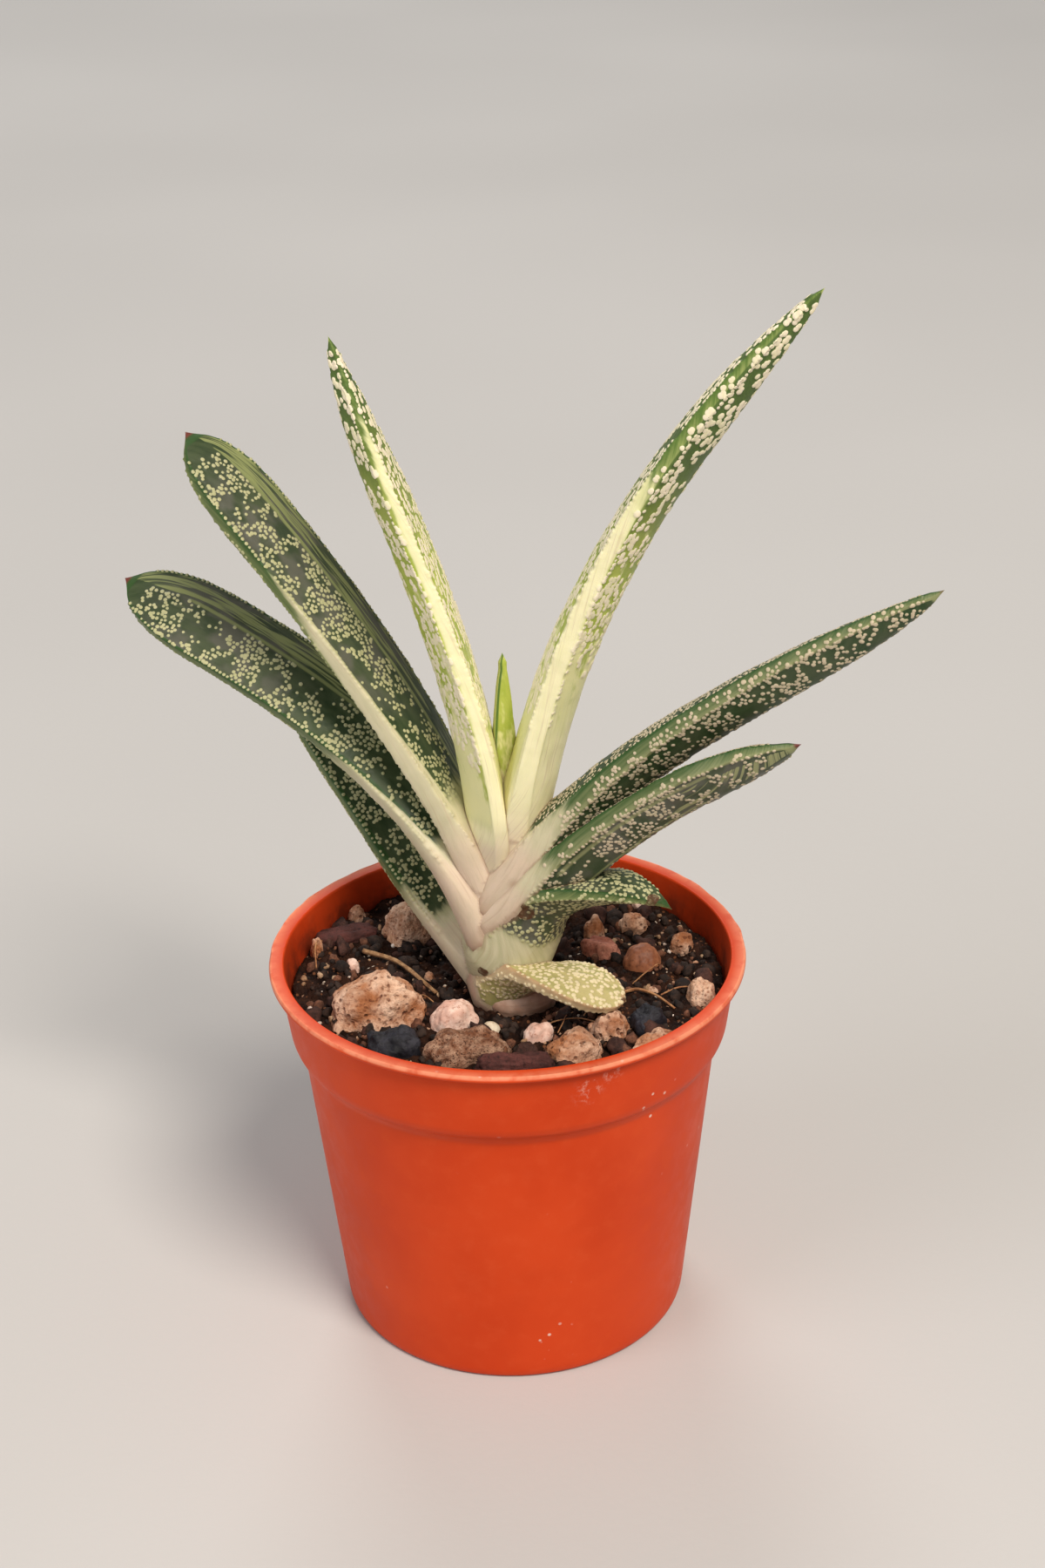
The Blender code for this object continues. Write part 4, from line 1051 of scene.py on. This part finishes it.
def make_soil():
    """Soil fill with a crumbly top, closed below."""
    t = np.linspace(0, 1, SOIL_RINGS + 1)[1:]
    r = SOIL_R * t
    a = np.linspace(0, math.tau, SOIL_SEG, endpoint=False)
    x = r[:, None] * np.cos(a)[None, :]
    y = r[:, None] * np.sin(a)[None, :]
    z = soil_top(x, y)
    rings = [np.stack([x, y, z], -1).reshape(-1, 3)]
    clear = WALL + 0.3
    for radius, level in ((COLLAR_R[1] - clear + 0.4, COLLAR_Z + 1.6), (BODY_R[0] - clear, BODY_Z - 1.6),
                          (BODY_R[1] - clear - 0.2, FLOOR + 1.4), (BODY_R[1] - clear - 1.4, FLOOR + .3)):
        rings.append(np.stack([radius * np.cos(a), radius * np.sin(a), np.full_like(a, level)], -1))
    middle = soil_top(np.zeros(1), np.zeros(1))[0]
    points = np.concatenate(rings + [[(0, 0, middle), (0, 0, FLOOR + .3)]])
    n_rows = SOIL_RINGS + 4
    i, j = np.meshgrid(np.arange(n_rows - 1), np.arange(SOIL_SEG), indexing="ij")
    k = (j + 1) % SOIL_SEG
    quads = np.stack([i * SOIL_SEG + j, (i + 1) * SOIL_SEG + j, (i + 1) * SOIL_SEG + k,
                      i * SOIL_SEG + k], -1)
    faces = quads.reshape(-1, 4).tolist()
    top, low = len(points) - 2, len(points) - 1
    last = (n_rows - 1) * SOIL_SEG
    for j in range(SOIL_SEG):
        k = (j + 1) % SOIL_SEG
        faces.append([top, j, k])
        faces.append([low, last + k, last + j])
    ob = mesh_object("soil_bed", points, faces, soil_material())
    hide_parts("soil")
    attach(ob, "root")
    return ob


def ball(subdivisions):
    """Directions and faces of a fine sphere."""
    bm = bmesh.new()
    bmesh.ops.create_icosphere(bm, subdivisions=subdivisions, radius=1.0)
    bm.verts.ensure_lookup_table()
    points = np.array([v.co.normalized() for v in bm.verts])
    faces = [[v.index for v in f.verts] for f in bm.faces]
    bm.free()
    return points, faces


def lump_material(name, colours, rough, scale, pits=0.0, bump=.0003, gloss=.3):
    """Stone, bark or charcoal: mottled colours, darker hollows and pits, and a grainy surface."""
    s = Shader(name)
    at = s.place()
    low, high, stain = colours
    broad = s.noise(at, scale, 4.0, .6)
    col = s.mix(s.step(broad, .34, .66), low, high)
    rusty = s.noise(at, scale * .8, 4.0, .7, .4)
    col = s.mix(s.step(rusty, .48, .66, (0.0, .55)), col, s.mix(.45, stain, low))
    grain = s.noise(at, scale * 6.5, 4.0, .65)
    col = s.mix(s.step(grain, .50, .72, (0.0, .80)), col, stain)
    holes = s.voronoi(at, scale * 4.2)
    depth = s.step(holes, .34, .10)
    col = s.mix(s.mul(depth, pits), col, stain)
    cave = s.step(s.attr("hollow"), .2, .9, (0.0, .85))
    col = s.mix(cave, col, stain)
    height = s.add(s.mul(grain, .8), s.mul(depth, -.6 * pits))
    return s.finish(col, rough, s.bump(height, bump, .9), Specular_IOR_Level=gloss)


STONE_LOOKS = {
    "speckled": (((.24, .090, .042), (.60, .36, .24), (.090, .028, .014)), .92, 620.0, .8, .0007, .3),
    # Pinkish pumice, its colours raised as painted light to offset the leaf's shadow falling on it.
    "flushed": (((.62, .32, .18), (.84, .58, .42), (.30, .11, .06)), .92, 380.0, .5, .0006, .25),
    # low colour, high colour, stain; roughness; scale; pits; bump; gloss; kind of surface
    "pumice": (((.42, .165, .070), (.86, .58, .42), (.19, .055, .021)), .92, 230.0, .8, .0008, .25),
    "perlite": (((.70, .42, .33), (.86, .64, .54), (.40, .16, .10)), .80, 300.0, .25, .0002, .35),
    "bead": (((.62, .48, .34), (.80, .70, .54), (.38, .22, .12)), .60, 380.0, .1, .0001, .4),
    "charcoal": (((.006, .006, .009), (.026, .025, .036), (.003, .003, .004)), .60, 420.0, .3, .0002, .35),
    "bark": (((.050, .016, .013), (.115, .036, .030), (.020, .008, .007)), .80, 300.0, .2, .0003, .3),
    "pebble": (((.26, .085, .036), (.46, .18, .085), (.12, .038, .020)), .55, 260.0, .2, .0001, .45),
    "wedge": (((.30, .085, .050), (.52, .22, .15), (.12, .035, .022)), .75, 300.0, .3, .0002, .3),
}


def make_stone(name, x, y, half, turn, square, rough, mats, balls):
    """A lumpy stone of the frame's shape, pitted or split, with its foot sunk in the soil."""
    kind = {"pumice_speckled": "speckled", "pumice_left": "flushed",
            "pumice_right": "flushed"}.get(name, name.split("_")[0])
    half = tuple(h * k for h, k in zip(half, TALLER.get(name, (1.0, 1.0, 1.0))))
    points, faces = balls[6 if max(half) > 4.9 else 5]
    a = math.radians(turn)
    seed = sum(ord(c) for c in name)
    shift, shift2 = Vector((seed, 0.3 * seed, 0.0)), Vector((0.0, seed, 2.0))
    n = np.array([noise.noise(Vector(p) * 1.7 + shift) + 0.5 * noise.noise(Vector(p) * 3.9 + shift2)
                  for p in points])
    k = (np.abs(points) ** square).sum(-1) ** (-1.0 / square)
    d = points * (k * (1.0 + rough * n * 1.15))[:, None]
    real = d * np.array(half)
    hollow = np.zeros(len(points))
    if kind in ("pumice", "speckled", "flushed"):
        far, mark = cells(real * .95, seed)
        pit = np.clip(.36 - far, 0, .36) * (mark > .35)
        far2, mark2 = cells(real * 2.1, seed + 5)
        pit2 = np.clip(.34 - far2, 0, .34) * (mark2 > .3)
        inward = -.95 * pit - .42 * pit2 + .10 * clouds(real * 1.5, seed, 3)
        hollow = np.clip(pit * 3.2 + pit2 * 1.5, 0, 1)
    elif kind in ("perlite", "bead"):
        far, mark = cells(real * .8, seed)
        amount = .06 if kind == "bead" else .14
        inward = amount * (.5 - far) + .05 * clouds(real * 2.0, seed, 3)
    elif kind == "charcoal":
        far, mark = cells(real * .42, seed)
        inward = .55 * (mark - .5) + .10 * clouds(real * 1.2, seed, 3)
    elif kind == "bark":
        ridge = clouds(real * np.array((.22, 1.7, 1.7)), seed, 4, .6)
        inward = .22 * ridge + .10 * clouds(real * 1.1, seed + 3, 2)
    else:
        inward = .09 * clouds(real * 1.1, seed, 4)
    size = np.linalg.norm(real, axis=1)
    real = real * (1 + inward / np.maximum(size, .5))[:, None]
    qx = x + real[:, 0] * math.cos(a) - real[:, 1] * math.sin(a)
    qy = y + real[:, 0] * math.sin(a) + real[:, 1] * math.cos(a)
    r = np.hypot(qx, qy)
    pull = np.where(r > SOIL_R - .1, (SOIL_R - .1) / r, 1.0)
    qx, qy = qx * pull, qy * pull
    qz = np.maximum(soil_height(qx, qy) - .6, soil_height(x, y) + real[:, 2])
    if kind not in mats:
        mats[kind] = lump_material("stone_" + kind, *STONE_LOOKS[kind])
    ob = mesh_object(name + "_rock", np.stack([qx, qy, qz], -1), faces, mats[kind],
                     {"hollow": hollow})
    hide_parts(name)
    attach(ob, "root")
    return ob


def grit_places():
    """The small grit of the frame's soil, drawn in the same order."""
    rng = np.random.default_rng(SEED)
    rows = [row + (t,) for t, row in enumerate(GRIT)]
    tries = 0
    while len(rows) < len(GRIT) + GRIT_MORE and tries < 4000:
        tries += 1
        r, a = SOIL_R * math.sqrt(rng.random()), math.tau * rng.random()
        size = rng.uniform(*GRIT_SIZE)
        half = tuple(size * rng.uniform(0.7, 1.3, 3))
        turn = 360.0 * rng.random()
        x, y = r * math.cos(a), r * math.sin(a)
        reach = 1.4 * max(half)
        if r > SOIL_R - reach - 0.4 or math.hypot(x - AXIS[0], y - AXIS[1]) < 8.0 + reach:
            continue
        if stone_reach(x, y) < reach + 0.5:
            continue
        if all(math.hypot(x - q[0], y - q[1]) > reach + 1.4 * max(q[2]) for q in rows):
            rows.append((x, y, half, turn, len(rows)))
    return rows


def make_grit(balls):
    """The small grit, half sunk in the soil, in two colours."""
    points, base_faces = balls[4]
    for name, mat, wanted in (("grit_tan", "stone_pumice", 0), ("grit_pale", "stone_perlite", 1)):
        verts, faces, hollow = [], [], []
        for x, y, half, turn, seed in grit_places():
            if (seed in (0, 6, 7, 9, 13, 17, 20)) != bool(wanted):
                continue
            shift = Vector((seed, 5.0, 0.0))
            n = np.array([noise.noise(Vector(p) * 1.7 + shift) for p in points])
            d = points * (1 + .25 * n)[:, None] * np.array(half)
            d = d * (1 + .06 * clouds(d * 2.2, seed, 3))[:, None]
            a = math.radians(turn)
            qx = x + d[:, 0] * math.cos(a) - d[:, 1] * math.sin(a)
            qy = y + d[:, 0] * math.sin(a) + d[:, 1] * math.cos(a)
            qz = soil_height(x, y) + d[:, 2] + .35 * half[2]
            base = len(verts) * len(points)
            verts.append(np.stack([qx, qy, qz], -1))
            faces += [[base + i for i in f] for f in base_faces]
            hollow.append(np.zeros(len(points)))
        ob = mesh_object(name, np.concatenate(verts), faces, bpy.data.materials[mat],
                         {"hollow": np.concatenate(hollow)})
        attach(ob, "root")


CRUMBS = (                   # name, count, smallest, largest, low, high, stain, roughness
    ("crumbs_dark", 620, .30, 1.05, (.012, .008, .007), (.050, .028, .020), (.006, .004, .004), .85),
    ("crumbs_bark", 54, .80, 1.70, (.030, .012, .009), (.085, .034, .024), (.012, .006, .005), .8),
    ("crumbs_brown", 260, .25, .95, (.090, .034, .020), (.24, .100, .055), (.030, .014, .010), .85),
    ("crumbs_tan", 110, .20, .70, (.34, .19, .10), (.56, .38, .24), (.16, .07, .04), .9),
    ("crumbs_white", 46, .15, .48, (.62, .48, .40), (.86, .78, .70), (.4, .25, .2), .7),
)


def make_crumbs(balls):
    """Loose crumbs of peat, bark and grit strewn over the soil."""
    for index, (name, count, low, high, *colours, rough) in enumerate(CRUMBS):
        points, base_faces = balls[3 if high > 1.2 else 2]
        base_faces = np.array(base_faces)
        rng = np.random.default_rng(SEED + 31 * index)
        verts, faces, total = [], [], 0
        while total < count:
            r, a = (SOIL_R - 1.2) * math.sqrt(rng.random()), math.tau * rng.random()
            x, y = r * math.cos(a), r * math.sin(a)
            size = low + (high - low) * rng.random() ** 2.2
            half = size * rng.uniform(.55, 1.25, 3)
            turn = rng.normal(size=(3, 3))
            turn, _ = np.linalg.qr(turn)
            jag = rng.uniform(0, 50)
            if stone_reach(np.array([x]), np.array([y]))[0] < -.3:
                continue
            if math.hypot(x - AXIS[0], y - AXIS[1]) < 5.5:
                continue
            n = clouds(points * 1.6 + jag, 2, 2)
            d = (points * half * (1 + .38 * n)[:, None]) @ turn
            z = soil_top(np.array([x]), np.array([y]))[0] + .30 * size
            verts.append(d + np.array((x, y, z)))
            faces.append(base_faces + total * len(points))
            total += 1
        mat = lump_material(name, colours, rough, 700.0, .3, .00015, .3)
        ob = mesh_object(name, np.concatenate(verts), np.concatenate(faces).tolist(), mat,
                         {"hollow": np.zeros(total * len(points))})
        flip_to_outside(ob)
        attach(ob, "root")


def strand_points(way):
    """A smooth path through way points whose height is given above the soil."""
    pts = [Vector((x, y, float(soil_height(x, y)) + h)) for x, y, h in way]
    pts = [pts[0] * 2 - pts[1]] + pts + [pts[-1] * 2 - pts[-2]]
    path = []
    for a, b, c, d in zip(pts, pts[1:], pts[2:], pts[3:]):
        for i in range(14):
            t = i / 14
            path.append(0.5 * ((2 * b) + (c - a) * t + (2 * a - 5 * b + 4 * c - d) * t * t
                               + (3 * b - a - 3 * c + d) * t ** 3))
    path.append(pts[-2])
    return path


def tube(path, radius, sides, flat=1.0, seed=0):
    """Points and faces of a closed tapering strand."""
    verts, faces = [], []
    count = len(path)
    for i, p in enumerate(path):
        t = (path[min(i + 1, count - 1)] - path[max(i - 1, 0)]).normalized()
        u = t.cross(Vector((0, 0, 1))).normalized()
        w = u.cross(t)
        r = radius * (1.0 - 0.3 * i / count) * (1 + .16 * noise.noise(Vector((i * .35, seed, 1.0))))
        for k in range(sides):
            a = math.tau * k / sides
            groove = 1 + .10 * math.cos(5 * a + seed)
            verts.append(tuple(p + (u * math.cos(a) * flat + w * math.sin(a)) * r * groove))
    for i in range(count - 1):
        for k in range(sides):
            n = (k + 1) % sides
            faces.append([i * sides + k, i * sides + n, (i + 1) * sides + n, (i + 1) * sides + k])
    faces.append(list(range(sides))[::-1])
    faces.append([(count - 1) * sides + k for k in range(sides)])
    return verts, faces


def fibre_material(name, low, high):
    """Dry plant fibre: streaked along its length."""
    s = Shader(name)
    at = s.place()
    streaks = s.noise(s.scaled(at, (1.0, 1.0, 3.0)), 900.0, 4.0, .7)
    col = s.mix(s.step(streaks, .35, .68), low, high)
    col = s.mix(s.step(s.noise(at, 500.0, 2.0), .6, .75, (0.0, .6)), col, (.09, .04, .02))
    return s.finish(col, .75, s.bump(streaks, .00012, .9), Specular_IOR_Level=.3)


def make_strands():
    """The straw, the loose root and the hair roots."""
    straw = fibre_material("straw_fibre", (.20, .095, .040), (.40, .24, .12))
    root = fibre_material("root_fibre", (.30, .12, .05), (.52, .27, .12))
    for name, way, radius in STRAWS:
        verts, faces = tube(strand_points(way), radius * STRAND_THIN, 18, 1.0, len(name))
        ob = mesh_object(name + "_strand", np.array(verts), faces, straw if name == "straw" else root)
        flip_to_outside(ob)
        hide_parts(name)
        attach(ob, "root")
    verts, faces = [], []
    for seed, (way, radius) in enumerate(HAIRS):
        v, f = tube(strand_points(way), radius, 8, 1.0, seed)
        faces += [[len(verts) + i for i in face] for face in f]
        verts += v
    ob = mesh_object("hair_roots", np.array(verts), faces, root)
    flip_to_outside(ob)
    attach(ob, "root")


def stem_material():
    s = Shader("stem_skin")
    at = s.place()
    z = s.node("ShaderNodeSeparateXYZ", Vector=at).outputs["Z"]
    broad = s.noise(at, 220.0, 4.0, .6)
    col = s.mix(s.step(broad, .35, .65), (.50, .29, .20), (.72, .50, .38))
    rings = s.noise(s.scaled(at, (.25, .25, 2.4)), 500.0, 3.0, .6)
    col = s.mix(s.step(rings, .55, .70, (0.0, .55)), col, (.30, .17, .10))
    dirt = s.step(s.add(z, s.mul(s.noise(at, 400.0, 3.0), .004)), .0512, .0490)
    col = s.mix(s.mul(dirt, .8), col, (.06, .030, .020))
    return s.finish(col, .6, s.bump(rings, .0002, .8), Subsurface_Weight=.1,
                    Subsurface_Radius=(1.0, .5, .3), Subsurface_Scale=.001)


def make_stem():
    """Short pinkish stub with faint rings."""
    z = np.array([row[0] for row in STEM])
    r = np.array([row[1] for row in STEM])
    levels = np.linspace(z[0], z[-1], 150)
    radius = np.interp(levels, z, r) + .08 * np.sin(levels * 3.1) * smooth(levels, 44, 47)
    outline = [(0.0, levels[0])] + list(zip(radius, levels)) + [(0.0, levels[-1] + .4)]
    ob = revolve("stem_stub", outline, 64, stem_material(), AXIS)
    flip_to_outside(ob)
    for v in ob.data.vertices:
        v.co.x += STEM_LEAN * MM * (1 - ease((v.co.z / MM - 48) / 6))
    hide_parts("stem")
    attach(ob, "root")


def make_camera():
    cp, sp = math.cos(CAM_PITCH), math.sin(CAM_PITCH)
    cy, sy = math.cos(CAM_YAW), math.sin(CAM_YAW)
    forward = Vector((sy * cp, cy * cp, -sp))
    right = Vector((cy, -sy, 0.0))
    up = right.cross(forward)
    cr, sr = math.cos(CAM_ROLL), math.sin(CAM_ROLL)
    side, top = right * cr + up * sr, up * cr - right * sr
    cam = bpy.data.cameras.new("camera")
    cam.lens, cam.sensor_width, cam.sensor_fit = CAM_LENS, 36.0, "AUTO"
    cam.clip_start, cam.clip_end = 0.01, 20.0
    ob = bpy.data.objects.new("camera", cam)
    bpy.context.scene.collection.objects.link(ob)
    back = -forward
    ob.matrix_world = Matrix(((side.x, top.x, back.x, CAM_AT[0]), (side.y, top.y, back.y, CAM_AT[1]),
                              (side.z, top.z, back.z, CAM_AT[2]), (0, 0, 0, 1)))
    bpy.context.scene.camera = ob


def area_light(name, at, target, size, power, colour):
    light = bpy.data.lights.new(name, "AREA")
    light.shape, light.size, light.energy, light.color = "DISK", size, power, colour
    ob = bpy.data.objects.new(name, light)
    bpy.context.scene.collection.objects.link(ob)
    ob.location = at
    ob.rotation_euler = (Vector(target) - Vector(at)).to_track_quat("-Z", "Y").to_euler()


def make_studio():
    """Pale floor, soft lights and a pale surround."""
    s = Shader("floor_paper")
    at = s.place()
    grain = s.noise(at, 700.0, 3.0, .6)
    broad = s.noise(at, 3.0, 2.0)
    col = s.mix(s.step(broad, .3, .7), (.52, .51, .50), (.56, .55, .54))
    mat = s.finish(col, .8, s.bump(grain, .0001, .3))
    size = 4000.0
    floor = mesh_object("floor", np.array([(-size, -size, 0), (size, -size, 0), (size, size, 0),
                                           (-size, size, 0)], float), [[0, 1, 2, 3]], mat)
    world = bpy.data.worlds.new("surround")
    world.use_nodes = True
    world.node_tree.nodes["Background"].inputs["Color"].default_value = (1.0, .98, .96, 1.0)
    world.node_tree.nodes["Background"].inputs["Strength"].default_value = 0.24
    bpy.context.scene.world = world
    middle = (0.0, 0.0, 0.07)
    area_light("key", (0.55, -1.05, 1.55), middle, .75, 36.0, (1.0, .92, .82))
    area_light("fill", (-1.25, -0.75, 0.85), middle, 1.0, 7.5, (.98, .98, 1.0))
    area_light("rim", (-0.25, 1.50, 1.35), middle, .90, 12.0, (1.0, .98, .95))
    bpy.context.scene.view_settings.view_transform = "Standard"


def main():
    make_camera()
    make_studio()
    make_pot()
    make_soil()
    make_stem()
    mark_creases([make_leaf(leaf, index) for index, leaf in enumerate(LEAVES)])
    balls = {k: ball(k) for k in (2, 3, 4, 5, 6)}
    mats = {}
    for row in STONES:
        make_stone(*row, mats, balls)
    make_grit(balls)
    make_crumbs(balls)
    make_strands()


main()
